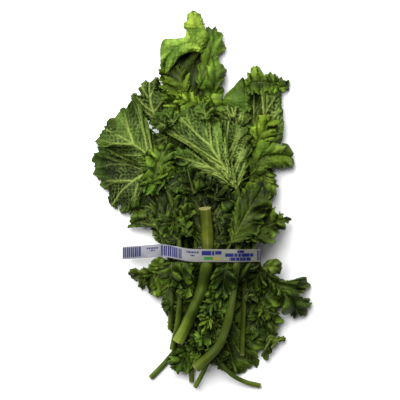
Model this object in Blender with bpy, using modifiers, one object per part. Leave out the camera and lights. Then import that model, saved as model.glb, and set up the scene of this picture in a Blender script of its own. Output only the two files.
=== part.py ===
"""A bunch of curly mustard greens, held round its middle by a paper tie.

The bunch lies on its back on a surface at Z = 0, leaf tips towards +Y and cut stalk ends towards -Y.
Every leaf is one solid: a stalk, a blade lofted between its rib and its two margins, and small lobes.
The leaves are laid down one after the other, from the lowest to the highest. Each one keeps its form
and is lifted just clear of what lies under it, as a leaf is that is laid on a heap. The tie is a band
round the outline that the stalks have where it holds them, with a flat underside to rest on.
Lengths are in millimetres until a mesh is made.
"""

import math

import bmesh
import bpy
import numpy as np

MM = 0.001

BLADE_THICKNESS = 0.9
CLEARANCE = 0.7

TIE_Y = -55.0
TIE_WIDTH = 12.7
TIE_THICKNESS = 0.8
TIE_GAP = 0.7
TIE_SIDES = 48
TIE_SLANT = 4.5
TIE_SLANT_FROM = -5.0
TIE_SLANT_TO = -38.0
TIE_FLAT = (-12.0, 36.0)
TIE_REACH = (-39.0, 60.5)
TAIL_FALL = 0.07
TAIL_ROOT = 5.0
TAIL_LENGTH = 44.0
TAIL_DROP = 10.0

CELL = 2.0
FIELD_X = (-130.0, 130.0)
FIELD_Y = (-214.0, 214.0)
SAG = 0.003
SETTLE_STEPS = 700
REACH_CELLS = 2

ROW_LENGTH = 8.0
FEWEST_ROWS = 4
MOST_ROWS = 14
WIDE_BLADE = 34.0
COLUMNS_WIDE = 6
COLUMNS_NARROW = 4
RING_SPACING = 20.0
FEWEST_RINGS = 8
THICK_STALK = 5.5
SECOND_STALK = 4.0
RIB_END = 0.97
MARGIN_END = 0.985
FOLD_OFFSET = 0.9
RIPPLE_OFFSET = 1.3
SECOND_RIPPLE = (0.35, 2.3, 1.7)
TEETH_PER_RIPPLE = 1.9
LOBE_SHAPE = ((0.0, 0.12), (0.35, 0.75), (0.7, 1.0), (0.93, 0.6), (1.0, 0.0))

BLADE_SAMPLES = 9
STALK_SAMPLES = 12
STALK_LANES = 9
STEEPEST = 0.3
NOTHING = 1e6
DEEPEST_DROP = -60.0
HELD_BY_TIE = 10.0
TRUE_ENOUGH = 0.3
LIFT_ROUNDS = 4
EDGE_STEPS = 17
EDGE_MARGIN = 1.5
TAIL_STEPS = 9
WELD = 1e-6
LEAF_ROUGHNESS = 0.5
PAPER_ROUGHNESS = 0.6
SHARP_EDGE = math.radians(50.0)

LEAF_GREEN = (0.10, 0.24, 0.045)
DARK_GREEN = (0.045, 0.12, 0.03)
UNDERSIDE_GREEN = (0.21, 0.32, 0.12)
STALK_GREEN = (0.20, 0.28, 0.08)
PAPER_WHITE = (0.78, 0.79, 0.80)


def blade(rib, left, right, crown=3.0, fold=2.0, folds=2.5, ruffle=3.2, waves=5.0, tooth=0.12, start=0.0):
    """A blade's rib and its two margins, each from its base to its tip, and how far it bulges and waves."""
    return dict(rib=rib, left=left, right=right, crown=crown, fold=fold, folds=folds, ruffle=ruffle,
                waves=waves, tooth=tooth, start=start)


def lobe(root, heading, length, width, rise=4.0, ruffle=2.2, waves=2.2):
    """A small frilled lobe that grows from a stalk at root, pointing to heading in degrees from +X."""
    turn = math.radians(heading)
    ahead = np.array([math.cos(turn), math.sin(turn), 0.0])
    aside = np.array([-math.sin(turn), math.cos(turn), 0.0])
    up = np.array([0.0, 0.0, 1.0])
    root = np.asarray(root, float)
    rib = [root, root + ahead * length * 0.5 + up * rise, root + ahead * length + up * rise * 0.6]

    def margin(side):
        """Narrow at the root, widest past the middle, closing at the tip."""
        return [root + ahead * length * share + aside * side * width * 0.5 * out + up * rise * share
                for share, out in LOBE_SHAPE]

    return blade(rib, margin(1.0), margin(-1.0), crown=0.8, fold=0.6, folds=1.5, ruffle=ruffle,
                 waves=waves, tooth=0.14, start=heading * 0.02)


# Points are (x, y, z). Leaves are listed in the order in which they are laid down, the lowest first.
LEAVES = [
    dict(
        name="leaf_back_left",
        colour=DARK_GREEN,
        radii=(2.6, 1.6),
        stalk=[(-27, -128, 8), (-22, -95, 9), (-15, -55, 9), (-19, 0, 10), (-19, 40, 10), (-17, 80, 9)],
        blades=[
            blade(
                rib=[(-15, -50, 9), (-20, 10, 11), (-18, 70, 10), (-16, 106, 6)],
                left=[(-25, -50, 8), (-56, -20, 6), (-66, 10, 5), (-50, 38, 6), (-32, 66, 6), (-30, 92, 5),
                      (-20, 107, 4)],
                right=[(-8, -50, 9), (6, -4, 10), (12, 40, 9), (8, 84, 6), (-13, 107, 4)],
                crown=5.0,
                fold=4.0,
                waves=7.0,
            ),
        ],
        lobes=[
            lobe((-24, -108, 9), 215, 16, 16),
            lobe((-22, -94, 9), 150, 16, 16),
            lobe((-17, -78, 9), 20, 16, 16),
            lobe((-26, -118, 8), 300, 20, 18),
        ],
    ),
    dict(
        name="leaf_back_right",
        colour=DARK_GREEN,
        radii=(2.8, 1.6),
        stalk=[(40, -140, 8), (38, -100, 9), (30, -55, 9), (34, -10, 8), (38, 50, 8), (36, 90, 6)],
        blades=[
            blade(
                rib=[(30, -50, 9), (36, 20, 11), (38, 70, 9), (34, 102, 6)],
                left=[(21, -50, 9), (12, 0, 10), (8, 44, 9), (14, 84, 7), (30, 104, 5)],
                right=[(40, -50, 9), (60, -28, 7), (72, 10, 5), (74, 52, 5), (60, 88, 4), (37, 104, 4)],
                crown=5.0,
                fold=4.0,
                waves=7.0,
            ),
        ],
        lobes=[
            lobe((39, -104, 9), -20, 24, 22),
            lobe((36, -88, 9), 30, 20, 18),
            lobe((37, -92, 9), 200, 18, 18),
        ],
    ),
    dict(
        name="leaf_foot",
        colour=DARK_GREEN,
        radii=(2.4, 1.2),
        stalk=[(4, -24, 10), (7, -55, 10), (13, -90, 12), (22, -125, 12), (32, -160, 8)],
        blades=[
            blade(
                rib=[(9, -62, 12), (22, -125, 14), (33, -162, 10), (38, -178, 7)],
                left=[(22, -62, 12), (44, -100, 10), (60, -128, 8), (66, -148, 5), (57, -152, 5),
                      (60, -166, 4), (50, -168, 4), (41, -179, 5)],
                right=[(-2, -62, 11), (-10, -100, 9), (-6, -132, 7), (-14, -150, 5), (2, -160, 5),
                       (14, -166, 5), (24, -172, 5), (35, -179, 5)],
                crown=5.0,
                fold=4.0,
                folds=3.0,
                waves=8.0,
            ),
        ],
        lobes=[
            lobe((8, -68, 11), 205, 22, 22),
            lobe((26, -138, 12), 215, 34, 26),
        ],
    ),
    dict(
        name="leaf_low_right",
        colour=DARK_GREEN,
        radii=(2.4, 1.4),
        stalk=[(50, -22, 16), (47, -55, 17), (54, -84, 18), (62, -112, 17), (69, -136, 12)],
        blades=[
            blade(
                rib=[(48, -60, 18), (60, -106, 18), (66, -128, 15), (71, -147, 9)],
                left=[(55, -60, 18), (72, -82, 17), (84, -101, 13), (79, -111, 13), (83, -123, 11),
                      (77, -128, 10), (82, -136, 8), (74, -148, 7)],
                right=[(38, -60, 18), (33, -92, 16), (36, -120, 12), (50, -142, 8), (68, -148, 7)],
                crown=5.0,
                fold=4.0,
                waves=7.0,
                ruffle=3.5,
            ),
            blade(
                rib=[(68, -138, 11), (76, -141, 10), (87, -140, 8)],
                left=[(68, -135, 11), (78, -138, 10), (87, -138.5, 8)],
                right=[(66, -141, 10), (70, -148, 8), (62, -158, 7), (66, -160, 6), (76, -145, 8),
                       (87, -142, 7)],
                crown=0.5,
                fold=0.5,
                ruffle=0.8,
                waves=2.0,
            ),
        ],
        lobes=[
            lobe((49, -24, 17), -10, 24, 20),
            lobe((49, -32, 17), 165, 20, 18),
            lobe((58, -100, 18), 10, 26, 22),
        ],
    ),
    dict(
        name="leaf_out_right",
        colour=DARK_GREEN,
        radii=(2.2, 1.2),
        stalk=[(46, -24, 22), (55, -55, 22), (68, -78, 26), (86, -95, 24)],
        blades=[
            blade(
                rib=[(64, -72, 26), (80, -88, 27), (92, -100, 24), (99, -115, 16)],
                left=[(69, -69, 26), (83, -76, 26), (92, -85, 23), (98, -82, 21), (105, -80, 18),
                      (108, -88, 16), (100, -95, 19), (105, -101, 16), (109, -101, 15), (107, -111, 13),
                      (101, -118, 13)],
                right=[(60, -74, 24), (74, -92, 22), (82, -104, 20), (84, -113, 16), (97, -119, 13)],
                crown=5.0,
                fold=3.0,
                waves=5.0,
            ),
            blade(
                rib=[(61, -69, 25), (70, -72, 30), (82, -71, 28)],
                left=[(63, -67, 25), (70, -66, 30), (78, -65.5, 29), (83, -69, 27)],
                right=[(59, -72, 25), (68, -79, 27), (78, -78, 26), (83, -73, 26)],
                waves=2.0,
                ruffle=2.0,
            ),
        ],
        lobes=[
            lobe((62, -71, 25), 230, 26, 22),
        ],
    ),
    dict(
        name="leaf_out_left",
        colour=DARK_GREEN,
        radii=(2.2, 1.2),
        stalk=[(-22, -24, 18), (-27, -55, 18), (-38, -72, 22), (-56, -76, 20)],
        blades=[
            blade(
                rib=[(-34, -69, 22), (-48, -74, 24), (-60, -76, 22), (-71, -75, 16)],
                left=[(-33, -74, 21), (-36, -95, 18), (-47, -97, 16), (-55, -87, 17), (-59, -91, 15),
                      (-62, -83, 16), (-71, -78, 14)],
                right=[(-33, -66, 22), (-44, -63, 22), (-55, -68, 21), (-62, -70, 19), (-68, -69, 17),
                       (-73, -73, 15)],
                crown=5.0,
                waves=5.0,
                fold=3.0,
            ),
            blade(
                rib=[(-28, -60, 19), (-27, -84, 22), (-26, -106, 16)],
                left=[(-20, -60, 20), (-11, -80, 20), (-10, -102, 16), (-23, -110, 13)],
                right=[(-34, -60, 18), (-38, -84, 18), (-36, -104, 14), (-29, -110, 12)],
                ruffle=3.5,
                fold=3.0,
            ),
        ],
        lobes=[
            lobe((-24, -38, 18), 160, 24, 20),
            lobe((-22, -28, 18), 30, 22, 20),
        ],
    ),
    dict(
        name="leaf_shoulder",
        colour=UNDERSIDE_GREEN,
        radii=(2.7, 1.5),
        stalk=[(-48, -178, 10), (-34, -163, 14), (-20, -144, 18), (-14, -110, 20), (-13, -55, 20),
               (-22, 0, 20), (-30, 44, 22), (-38, 72, 24), (-50, 90, 28)],
        blades=[
            blade(
                rib=[(-42, 78, 24), (-50, 90, 30), (-53, 104, 32), (-52, 118, 27)],
                left=[(-46, 82, 23), (-60, 83, 22), (-69, 88, 21), (-70, 94, 21), (-61, 102, 26),
                      (-60, 116, 25), (-55, 121, 24)],
                right=[(-38, 74, 23), (-31, 84, 24), (-33, 104, 28), (-40, 114, 27), (-44, 123, 25),
                       (-49, 120, 25)],
                crown=5.0,
                fold=4.0,
                waves=5.0,
                ruffle=2.5,
            ),
        ],
        lobes=[
            lobe((-24, 12, 20), 170, 34, 30, rise=6),
            lobe((-29, 34, 21), 10, 30, 26, rise=6),
            lobe((-14, -124, 19), 190, 18, 16),
            lobe((-18, -138, 18), 20, 16, 14),
        ],
    ),
    dict(
        name="leaf_tip",
        colour=LEAF_GREEN,
        radii=(2.4, 1.6),
        stalk=[(-8.5, -181, 10), (-9, -160, 15), (-7, -115, 24), (-4, -55, 29), (-5, 0, 28), (-4, 60, 30),
               (0, 104, 32)],
        blades=[
            blade(
                rib=[(-4, 80, 31), (2, 112, 34), (5, 140, 34), (1, 164, 34), (-7, 189, 24)],
                left=[(-10, 82, 30), (-26, 92, 28), (-37, 106, 27), (-39, 124, 30), (-39, 156, 40),
                      (-14, 164, 41), (-12, 172, 34), (-17, 177, 28), (-12, 186, 24), (-8, 191, 22)],
                right=[(6, 80, 32), (20, 90, 34), (25, 104, 36), (26, 127, 35), (15, 143, 38), (24, 155, 35),
                       (16, 166, 36), (6, 174, 32), (0, 184, 27), (-5, 191, 22)],
                crown=-7.0,
                fold=3.0,
                folds=1.6,
                waves=7.0,
                ruffle=2.5,
            ),
            blade(
                rib=[(-37, 146, 41), (-22, 152, 48), (-8, 150, 48), (3, 142, 40)],
                left=[(-38, 150, 40), (-38, 157, 40), (-24, 162, 41), (-10, 165, 40), (5, 160, 38)],
                right=[(-38, 142, 40), (-37, 130, 40), (-26, 138, 46), (-16, 146, 48), (-8, 136, 46),
                       (0, 126, 38)],
                crown=2.0,
                fold=1.0,
                ruffle=1.5,
                waves=3.0,
                tooth=0.05,
            ),
        ],
        lobes=[
            lobe((-4, 82, 31), 150, 26, 24, rise=6),
            lobe((-4, 76, 31), 35, 30, 28, rise=6),
            lobe((-5, 20, 28), 165, 24, 22),
            lobe((-5, 6, 28), 20, 22, 20),
            lobe((-5, -14, 28), 190, 20, 18),
            lobe((-9, -152, 17), 215, 26, 20),
        ],
    ),
    dict(
        name="leaf_heart",
        colour=LEAF_GREEN,
        radii=(2.6, 1.6),
        stalk=[(2, -150, 20), (6, -120, 27), (12, -90, 32), (15, -55, 33), (15, -20, 34), (12, 22, 36)],
        blades=[
            blade(
                rib=[(15, -52, 34), (14, -16, 37), (12, 12, 40), (8, 38, 36)],
                left=[(3, -52, 33), (-10, -28, 34), (-18, 2, 36), (-14, 28, 36), (4, 40, 34)],
                right=[(26, -52, 34), (33, -28, 36), (34, -4, 38), (28, 22, 38), (12, 40, 34)],
                crown=3.0,
                fold=4.0,
                folds=3.0,
                waves=6.0,
                ruffle=3.5,
            ),
            blade(
                rib=[(15, -56, 33), (10, -90, 33), (5, -122, 26)],
                left=[(25, -56, 34), (31, -80, 33), (26, -108, 30), (10, -126, 24)],
                right=[(2, -56, 33), (-9, -80, 31), (-10, -108, 28), (0, -126, 23)],
                crown=3.0,
                fold=3.0,
                waves=5.0,
                ruffle=3.5,
            ),
        ],
        lobes=[
            lobe((4, -134, 24), 350, 22, 20),
            lobe((4, -136, 24), 220, 16, 15),
        ],
    ),
    dict(
        name="leaf_rolled_right",
        colour=UNDERSIDE_GREEN,
        radii=(2.5, 1.8),
        stalk=[(42.5, -156, 22), (43.5, -120, 29), (45, -84, 34), (46, -55, 36), (48, 0, 38), (54, 50, 42),
               (62, 96, 46)],
        blades=[
            blade(
                rib=[(57, 46, 43), (61, 80, 50), (64, 106, 50), (66, 124, 42)],
                left=[(50, 44, 41), (42, 66, 40), (28, 84, 32), (27, 96, 34), (36, 108, 40), (43, 116, 42),
                      (44, 126, 41), (51, 130, 38), (57, 135, 35), (62, 126, 38)],
                right=[(70, 46, 40), (82, 58, 38), (85, 84, 38), (84, 108, 38), (90, 114, 36), (84, 120, 37),
                       (74, 123, 38), (69, 126, 38)],
                crown=6.0,
                fold=5.0,
                folds=2.0,
                ruffle=1.8,
                waves=6.0,
            ),
        ],
        lobes=[
            lobe((46, 6, 38), 150, 22, 20, rise=6),
        ],
    ),
    dict(
        name="leaf_low_left",
        colour=DARK_GREEN,
        radii=(2.6, 1.6),
        stalk=[(-30, -130, 13), (-29, -95, 20), (-31, -55, 25), (-34, -20, 30), (-46, 6, 28)],
        blades=[
            blade(
                rib=[(-31, -48, 27), (-38, -14, 31), (-52, 4, 28), (-74, 12, 18)],
                left=[(-36, -48, 26), (-45, -34, 24), (-54, -19, 22), (-63, -28, 18), (-72, -24, 15),
                      (-68, -14, 16), (-81, -10, 13), (-80, 4, 13)],
                right=[(-27, -48, 28), (-13, -30, 32), (-12, 4, 34), (-28, 28, 32), (-56, 30, 24),
                       (-77, 15, 15)],
                crown=3.0,
                fold=4.5,
                folds=3.0,
                waves=7.0,
            ),
        ],
        lobes=[
            lobe((-29, -102, 19), 200, 16, 15),
            lobe((-29, -88, 21), 20, 14, 13),
        ],
    ),
    dict(
        name="leaf_fan_left",
        colour=LEAF_GREEN,
        radii=(3.2, 1.8),
        stalk=[(-28, -150, 16), (-23, -128, 23), (-20, -95, 32), (-20, -55, 37), (-26, -10, 40),
               (-42, 30, 40), (-54, 46, 40)],
        blades=[
            blade(
                rib=[(-46, 38, 40), (-66, 50, 42), (-88, 56, 36), (-105, 56, 24)],
                left=[(-42, 28, 40), (-56, 4, 36), (-74, -10, 26), (-79, -5, 24), (-84, -10, 22),
                      (-88, 2, 22), (-89, 13, 22), (-99, 22, 18), (-106, 30, 17), (-107, 46, 20),
                      (-106, 54, 22)],
                right=[(-41, 44, 40), (-44, 60, 38), (-53, 80, 36), (-60, 95, 31), (-68, 103, 26),
                       (-77, 88, 28), (-90, 80, 25), (-97, 70, 23), (-106, 58, 22)],
                crown=3.0,
                fold=6.5,
                folds=3.0,
                waves=9.0,
                ruffle=2.5,
            ),
        ],
        lobes=[
            lobe((-44, 34, 41), 90, 26, 22, rise=8),
            lobe((-42, 30, 41), 140, 26, 22, rise=7),
            lobe((-38, 20, 41), 200, 24, 20, rise=5),
            lobe((-34, 12, 41), 30, 24, 20, rise=5),
            lobe((-27, -10, 40), 25, 20, 18, rise=4),
            lobe((-24, -22, 40), 190, 20, 18, rise=4),
            lobe((-21, -40, 39), 140, 18, 16),
            lobe((-20, -76, 36), 215, 16, 14),
        ],
    ),
    dict(
        name="leaf_side_right",
        colour=LEAF_GREEN,
        radii=(2.4, 1.5),
        stalk=[(-4, -187, 10), (3, -174, 16), (10, -158, 22), (22, -122, 27), (34, -88, 30), (52, -55, 30),
               (53, -10, 40), (54, 32, 46)],
        blades=[
            blade(
                rib=[(54, 26, 46), (62, 42, 50), (78, 46, 46), (93, 43, 38)],
                left=[(49, 28, 46), (47, 46, 48), (56, 58, 48), (66, 61, 48), (76, 57, 47), (86, 55, 43),
                      (92, 52, 39), (96, 46, 37)],
                right=[(58, 22, 46), (66, 30, 49), (76, 32, 46), (84, 32, 42), (92, 33, 38), (96, 40, 37)],
                crown=4.0,
                fold=3.0,
                folds=2.0,
                waves=5.0,
                ruffle=2.2,
            ),
            blade(
                rib=[(56, 34, 46), (66, 22, 42), (76, 5, 34)],
                left=[(60, 34, 45), (72, 27, 41), (77, 16, 36), (76, 4, 33)],
                right=[(52, 32, 46), (52, 18, 42), (60, 4, 38), (71, 2, 33)],
                fold=3.0,
                waves=4.0,
            ),
        ],
        lobes=[
            lobe((53, 2, 42), 150, 20, 18),
        ],
    ),
    dict(
        name="leaf_flap_right",
        colour=LEAF_GREEN,
        radii=(2.3, 1.3),
        stalk=[(59, -187, 10), (46, -184, 13), (33, -177, 16), (21, -164, 21), (14, -130, 32),
               (17, -90, 40), (25, -55, 43), (34, -37, 46), (48, -8, 47)],
        blades=[
            blade(
                rib=[(31, -42, 46), (40, -25, 49), (51, -6, 49), (64, 14, 43)],
                left=[(27, -41, 45), (24, -20, 46), (34, 2, 49), (42, 12, 48), (52, 20, 45), (62, 17, 42)],
                right=[(35, -44, 45), (54, -42, 42), (66, -43, 38), (75, -43, 36), (79, -33, 36),
                       (86, -27, 32), (91, -15, 31), (80, -10, 35), (77, 2, 37), (68, 14, 41)],
                crown=3.0,
                fold=3.0,
                folds=2.5,
                waves=7.0,
                ruffle=2.0,
            ),
        ],
        lobes=[
            lobe((15, -118, 36), 140, 18, 15),
            lobe((15, -112, 37), 20, 18, 16),
            lobe((17, -94, 41), 160, 15, 13),
            lobe((14, -134, 31), 200, 20, 16),
            lobe((21, -72, 43), 10, 16, 14),
        ],
    ),
    dict(
        name="leaf_middle",
        colour=UNDERSIDE_GREEN,
        radii=(4.7, 2.3),
        stalk=[(-4, -168, 24), (6, -159, 28), (17, -148, 32), (27, -124, 38), (33, -93, 42), (37, -55, 42),
               (40, -20, 54), (36, 14, 62), (22, 38, 70)],
        blades=[
            blade(
                rib=[(36, 12, 63), (22, 38, 71), (9, 58, 76), (5, 76, 73), (-5, 93, 64)],
                left=[(31, 10, 61), (14, 26, 64), (-8, 32, 62), (-22, 40, 57), (-29, 50, 56), (-24, 62, 60),
                      (-36, 70, 56), (-46, 81, 52), (-38, 88, 55), (-22, 87, 60), (-8, 94, 62)],
                right=[(40, 14, 61), (47, 34, 59), (50, 54, 58), (48, 66, 58), (38, 74, 62), (28, 81, 63),
                       (18, 77, 67), (8, 85, 67), (-2, 94, 63)],
                crown=5.0,
                fold=4.5,
                folds=3.5,
                waves=8.0,
                ruffle=2.0,
            ),
        ],
        lobes=[
            lobe((40, -6, 57), 150, 22, 18),
            lobe((40, -20, 54), 200, 20, 16),
        ],
    ),
    dict(
        name="stalk_main",
        colour=STALK_GREEN,
        radii=(5.8, 6.2),
        stalk=[(-22, -142, 36), (-12, -123, 40), (-4, -104, 43), (2, -88, 45), (6, -70, 46),
               (7.5, -50, 46), (7, -28, 50), (5, -8, 54)],
        blades=[],
        lobes=[],
    ),
]


def along(points, t):
    """The smooth curve through the points, read at t from 0 to 1 by length: a cubic between each two
    points, whose slope at a point is that of the line between its neighbours."""
    points = np.asarray(points, float)
    knots = np.concatenate([[0.0], np.cumsum(np.linalg.norm(np.diff(points, axis=0), axis=1))])
    knots = knots / knots[-1]
    slopes = np.gradient(points, knots, axis=0)
    t = np.clip(np.asarray(t, float), 0.0, 1.0)
    first = np.clip(np.searchsorted(knots, t, side="right") - 1, 0, len(points) - 2)
    width = knots[first + 1] - knots[first]
    s = ((t - knots[first]) / width)[..., None]
    width = width[..., None]
    here = (1 + 2 * s) * (1 - s) ** 2 * points[first]
    there = s**2 * (3 - 2 * s) * points[first + 1]
    leaving = s * (1 - s) ** 2 * width * slopes[first]
    arriving = s**2 * (s - 1) * width * slopes[first + 1]
    return here + there + leaving + arriving


def blade_points(form, u, v):
    """Points of a blade at u from base to tip and v from -1 at the right margin to 1 at the left one.
    Each point lies on the line from the rib to the margin. The blade bulges between them, falls in
    broad folds that grow towards the margin, and ripples along the margin itself."""
    rib = along(form["rib"], u * RIB_END)
    left = along(form["left"], u * MARGIN_END)
    right = along(form["right"], u * MARGIN_END)
    out = np.abs(v)
    margin = np.where((v > 0)[..., None], left, right)
    side = np.where(v > 0, 1.0, -1.0)
    turn = 2 * math.pi * form["waves"] * u + side * RIPPLE_OFFSET + form["start"]
    reach = out * (1 + form["tooth"] * out**4 * np.cos(turn * TEETH_PER_RIPPLE + 0.6))
    points = rib + reach[..., None] * (margin - rib)
    ends = np.clip(np.minimum(u, 1.0 - u) * 8.0, 0.0, 1.0)
    swing = np.sin(2 * math.pi * form["folds"] * u + side * FOLD_OFFSET + form["start"])
    share, rate, offset = SECOND_RIPPLE
    ripple = np.sin(turn) + share * np.sin(rate * turn + offset)
    height = form["crown"] * 4.0 * out * (1.0 - out) * ends
    height = height + form["fold"] * out * swing * ends
    height = height + form["ruffle"] * out**3 * ripple * (0.3 + 0.7 * ends)
    points[..., 2] += height
    return points


def grid_size(form):
    """The rows along a blade and the columns across it: more on a long one and on a wide one."""
    rib = along(form["rib"], np.linspace(0, 1, 20))
    length = np.linalg.norm(np.diff(rib, axis=0), axis=1).sum()
    middle = np.array([0.4, 0.6])
    width = np.linalg.norm(along(form["left"], middle) - along(form["right"], middle), axis=1).max()
    rows = int(np.clip(round(length / ROW_LENGTH), FEWEST_ROWS, MOST_ROWS))
    return rows, COLUMNS_WIDE if width > WIDE_BLADE else COLUMNS_NARROW


def grid(rows, columns):
    """The u and v of a blade's grid points and the triangles between them."""
    u, v = np.meshgrid(np.linspace(0, 1, rows + 1), np.linspace(-1, 1, columns + 1), indexing="ij")
    corner = (np.arange(rows)[:, None] * (columns + 1) + np.arange(columns)).ravel()
    one = np.stack([corner, corner + columns + 1, corner + columns + 2], axis=1)
    two = np.stack([corner, corner + columns + 2, corner + 1], axis=1)
    return u.ravel(), v.ravel(), np.concatenate([one, two])


def field_cells():
    """How many cells the heap's height field has along X and Y."""
    return (
        int((FIELD_X[1] - FIELD_X[0]) / CELL),
        int((FIELD_Y[1] - FIELD_Y[0]) / CELL),
    )


def cell_of(x, y):
    """The cell that each point is in."""
    wide, long = field_cells()
    i = np.clip(((x - FIELD_X[0]) / CELL).astype(int), 0, wide - 1)
    j = np.clip(((y - FIELD_Y[0]) / CELL).astype(int), 0, long - 1)
    return i, j


def read_field(field, x, y):
    """The field's value at each point, blended between the middles of the four nearest cells."""
    wide, long = field.shape
    p = np.clip((x - FIELD_X[0]) / CELL - 0.5, 0, wide - 1.001)
    q = np.clip((y - FIELD_Y[0]) / CELL - 0.5, 0, long - 1.001)
    i = p.astype(int)
    j = q.astype(int)
    a = p - i
    b = q - j
    low = field[i, j] * (1 - a) + field[i + 1, j] * a
    high = field[i, j + 1] * (1 - a) + field[i + 1, j + 1] * a
    return low * (1 - b) + high * b


def widened(field, cells):
    """Each cell takes the highest value within so many cells of it."""
    for _ in range(cells):
        tall = field.copy()
        tall[1:] = np.maximum(tall[1:], field[:-1])
        tall[:-1] = np.maximum(tall[:-1], field[1:])
        wide = tall.copy()
        wide[:, 1:] = np.maximum(wide[:, 1:], tall[:, :-1])
        wide[:, :-1] = np.maximum(wide[:, :-1], tall[:, 1:])
        field = wide
    return field


def stalk_line(leaf):
    """The points that a stalk's rings stand on, and the stalk's radius at each."""
    points = np.asarray(leaf["stalk"], float)
    length = np.linalg.norm(np.diff(points, axis=0), axis=1).sum()
    t = np.linspace(0, 1, max(FEWEST_RINGS, int(length / RING_SPACING)))
    return along(points, t), leaf["radii"][0] + (leaf["radii"][1] - leaf["radii"][0]) * t


def leaf_samples(leaf):
    """Points all over a leaf as it is drawn. Returns the lowest and highest point of its wall at each, and
    the three corners that carry it with their weights, because a lift is read at the corners."""
    spots = []
    corners_of = []
    weights_of = []
    a, b = np.meshgrid(np.arange(BLADE_SAMPLES + 1), np.arange(BLADE_SAMPLES + 1), indexing="ij")
    inside = (a + b) <= BLADE_SAMPLES
    weights = np.stack([a[inside], b[inside], BLADE_SAMPLES - a[inside] - b[inside]], axis=1) / BLADE_SAMPLES
    for form in leaf["blades"] + leaf["lobes"]:
        u, v, triangles = grid(*grid_size(form))
        corners = blade_points(form, u, v)[triangles]
        normal = np.cross(corners[:, 1] - corners[:, 0], corners[:, 2] - corners[:, 0])
        steep = np.abs(normal[:, 2]) / np.maximum(np.linalg.norm(normal, axis=1), 1e-9)
        half = BLADE_THICKNESS * 0.5 / np.maximum(steep, STEEPEST)
        points = np.einsum("sk,tkc->tsc", weights, corners)
        half = np.repeat(half[:, None], len(weights), axis=1)
        low = points[..., 2] - half
        high = points[..., 2] + half
        spots.append(np.stack([points[..., 0], points[..., 1], low, high], axis=-1).reshape(-1, 4))
        corners_of.append(np.repeat(corners[:, None, :, :2], len(weights), axis=1).reshape(-1, 3, 2))
        weights_of.append(np.tile(weights, (len(corners), 1)))
    line, radius = stalk_line(leaf)
    share = np.tile(np.linspace(0, 1, STALK_SAMPLES, endpoint=False), len(line) - 1)
    ring = np.repeat(np.arange(len(line) - 1), STALK_SAMPLES)
    middle = line[ring] * (1 - share)[:, None] + line[ring + 1] * share[:, None]
    thick = radius[ring] * (1 - share) + radius[ring + 1] * share
    ahead = line[ring + 1] - line[ring]
    aside = np.stack([-ahead[:, 1], ahead[:, 0]], axis=1)
    aside = aside / np.linalg.norm(aside, axis=1)[:, None]
    for part_way in np.linspace(-1, 1, STALK_LANES):
        across = middle[:, :2] + aside * (thick * part_way)[:, None]
        drop = thick * math.sqrt(max(1 - part_way**2, 0.0))
        spots.append(np.stack([across[:, 0], across[:, 1], middle[:, 2] - drop, middle[:, 2] + drop], axis=1))
        shift = (aside * (thick * part_way)[:, None])[:, None]
        ends = np.stack([line[ring][:, :2], line[ring + 1][:, :2], line[ring][:, :2]], axis=1)
        corners_of.append(ends + shift)
        weights_of.append(np.stack([1 - share, share, share * 0], axis=1))
    return np.concatenate(spots), np.concatenate(corners_of), np.concatenate(weights_of)


def lifted(samples, lift):
    """How far the lift raises each sample, as its corners carry it."""
    _, corners, weights = samples
    return (read_field(lift, corners[..., 0], corners[..., 1]) * weights).sum(axis=1)


def settled(need, footprint, held):
    """A smooth lift that meets the need everywhere, as a limp sheet pulled down onto a heap."""
    lift = np.where(held, 0.0, np.maximum(need, DEEPEST_DROP))
    weight = footprint.astype(float)
    total = np.zeros_like(weight)
    for axis in (0, 1):
        for step in (1, -1):
            total += np.roll(weight, step, axis)
    total = np.maximum(total, 1.0)
    for _ in range(SETTLE_STEPS):
        around = np.zeros_like(lift)
        spread = lift * weight
        for axis in (0, 1):
            for step in (1, -1):
                around += np.roll(spread, step, axis)
        lift = np.maximum(around / total - SAG, need)
        lift = np.where(held, np.maximum(lift, 0.0), lift)
        lift = np.where(footprint, lift, 0.0)
    return lift


def lay(leaf, heap):
    """The lift that lays a leaf on the heap, as a field, and the heap with the leaf on it."""
    samples = leaf_samples(leaf)
    x, y, low, high = samples[0].T
    i, j = cell_of(x, y)
    under = np.full(heap.shape, NOTHING)
    np.minimum.at(under, (i, j), low)
    footprint = under < NOTHING
    near = widened(footprint.astype(float), 3) > 0.5
    floor = widened(heap, REACH_CELLS) + CLEARANCE - under
    need = np.where(footprint, floor, -NOTHING)
    need = widened(need, 1)
    middle = FIELD_Y[0] + (np.arange(heap.shape[1]) + 0.5) * CELL
    held = near & (np.abs(middle - TIE_Y) < HELD_BY_TIE)[None, :]
    for _ in range(LIFT_ROUNDS):
        lift = settled(need, near, held)
        raised = lifted(samples, lift)
        short = heap[i, j] + CLEARANCE - (low + raised)
        if short.max() < TRUE_ENOUGH:
            break
        more = np.full(heap.shape, -NOTHING)
        np.maximum.at(more, (i, j), short)
        more = widened(more, 2)
        need = np.where(more > 0.0, np.maximum(need, lift) + more, need)
    top = heap.copy()
    np.maximum.at(top, (i, j), high + lifted(samples, lift))
    return lift, top


def finish(thing, colour, roughness):
    """Gives an object a plain material of its own and smooth shading."""
    material = bpy.data.materials.new(thing.name + "_finish")
    material.use_nodes = True
    shader = material.node_tree.nodes["Principled BSDF"]
    shader.inputs["Base Color"].default_value = (*colour, 1.0)
    shader.inputs["Roughness"].default_value = roughness
    shader.inputs["Metallic"].default_value = 0.0
    thing.data.materials.clear()
    thing.data.materials.append(material)
    thing.data.shade_smooth()
    thing.data.set_sharp_from_angle(angle=SHARP_EDGE)


def evaluated_copy(thing):
    """A new mesh of the object with its modifiers applied."""
    graph = bpy.context.evaluated_depsgraph_get()
    return bpy.data.meshes.new_from_object(thing.evaluated_get(graph))


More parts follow.
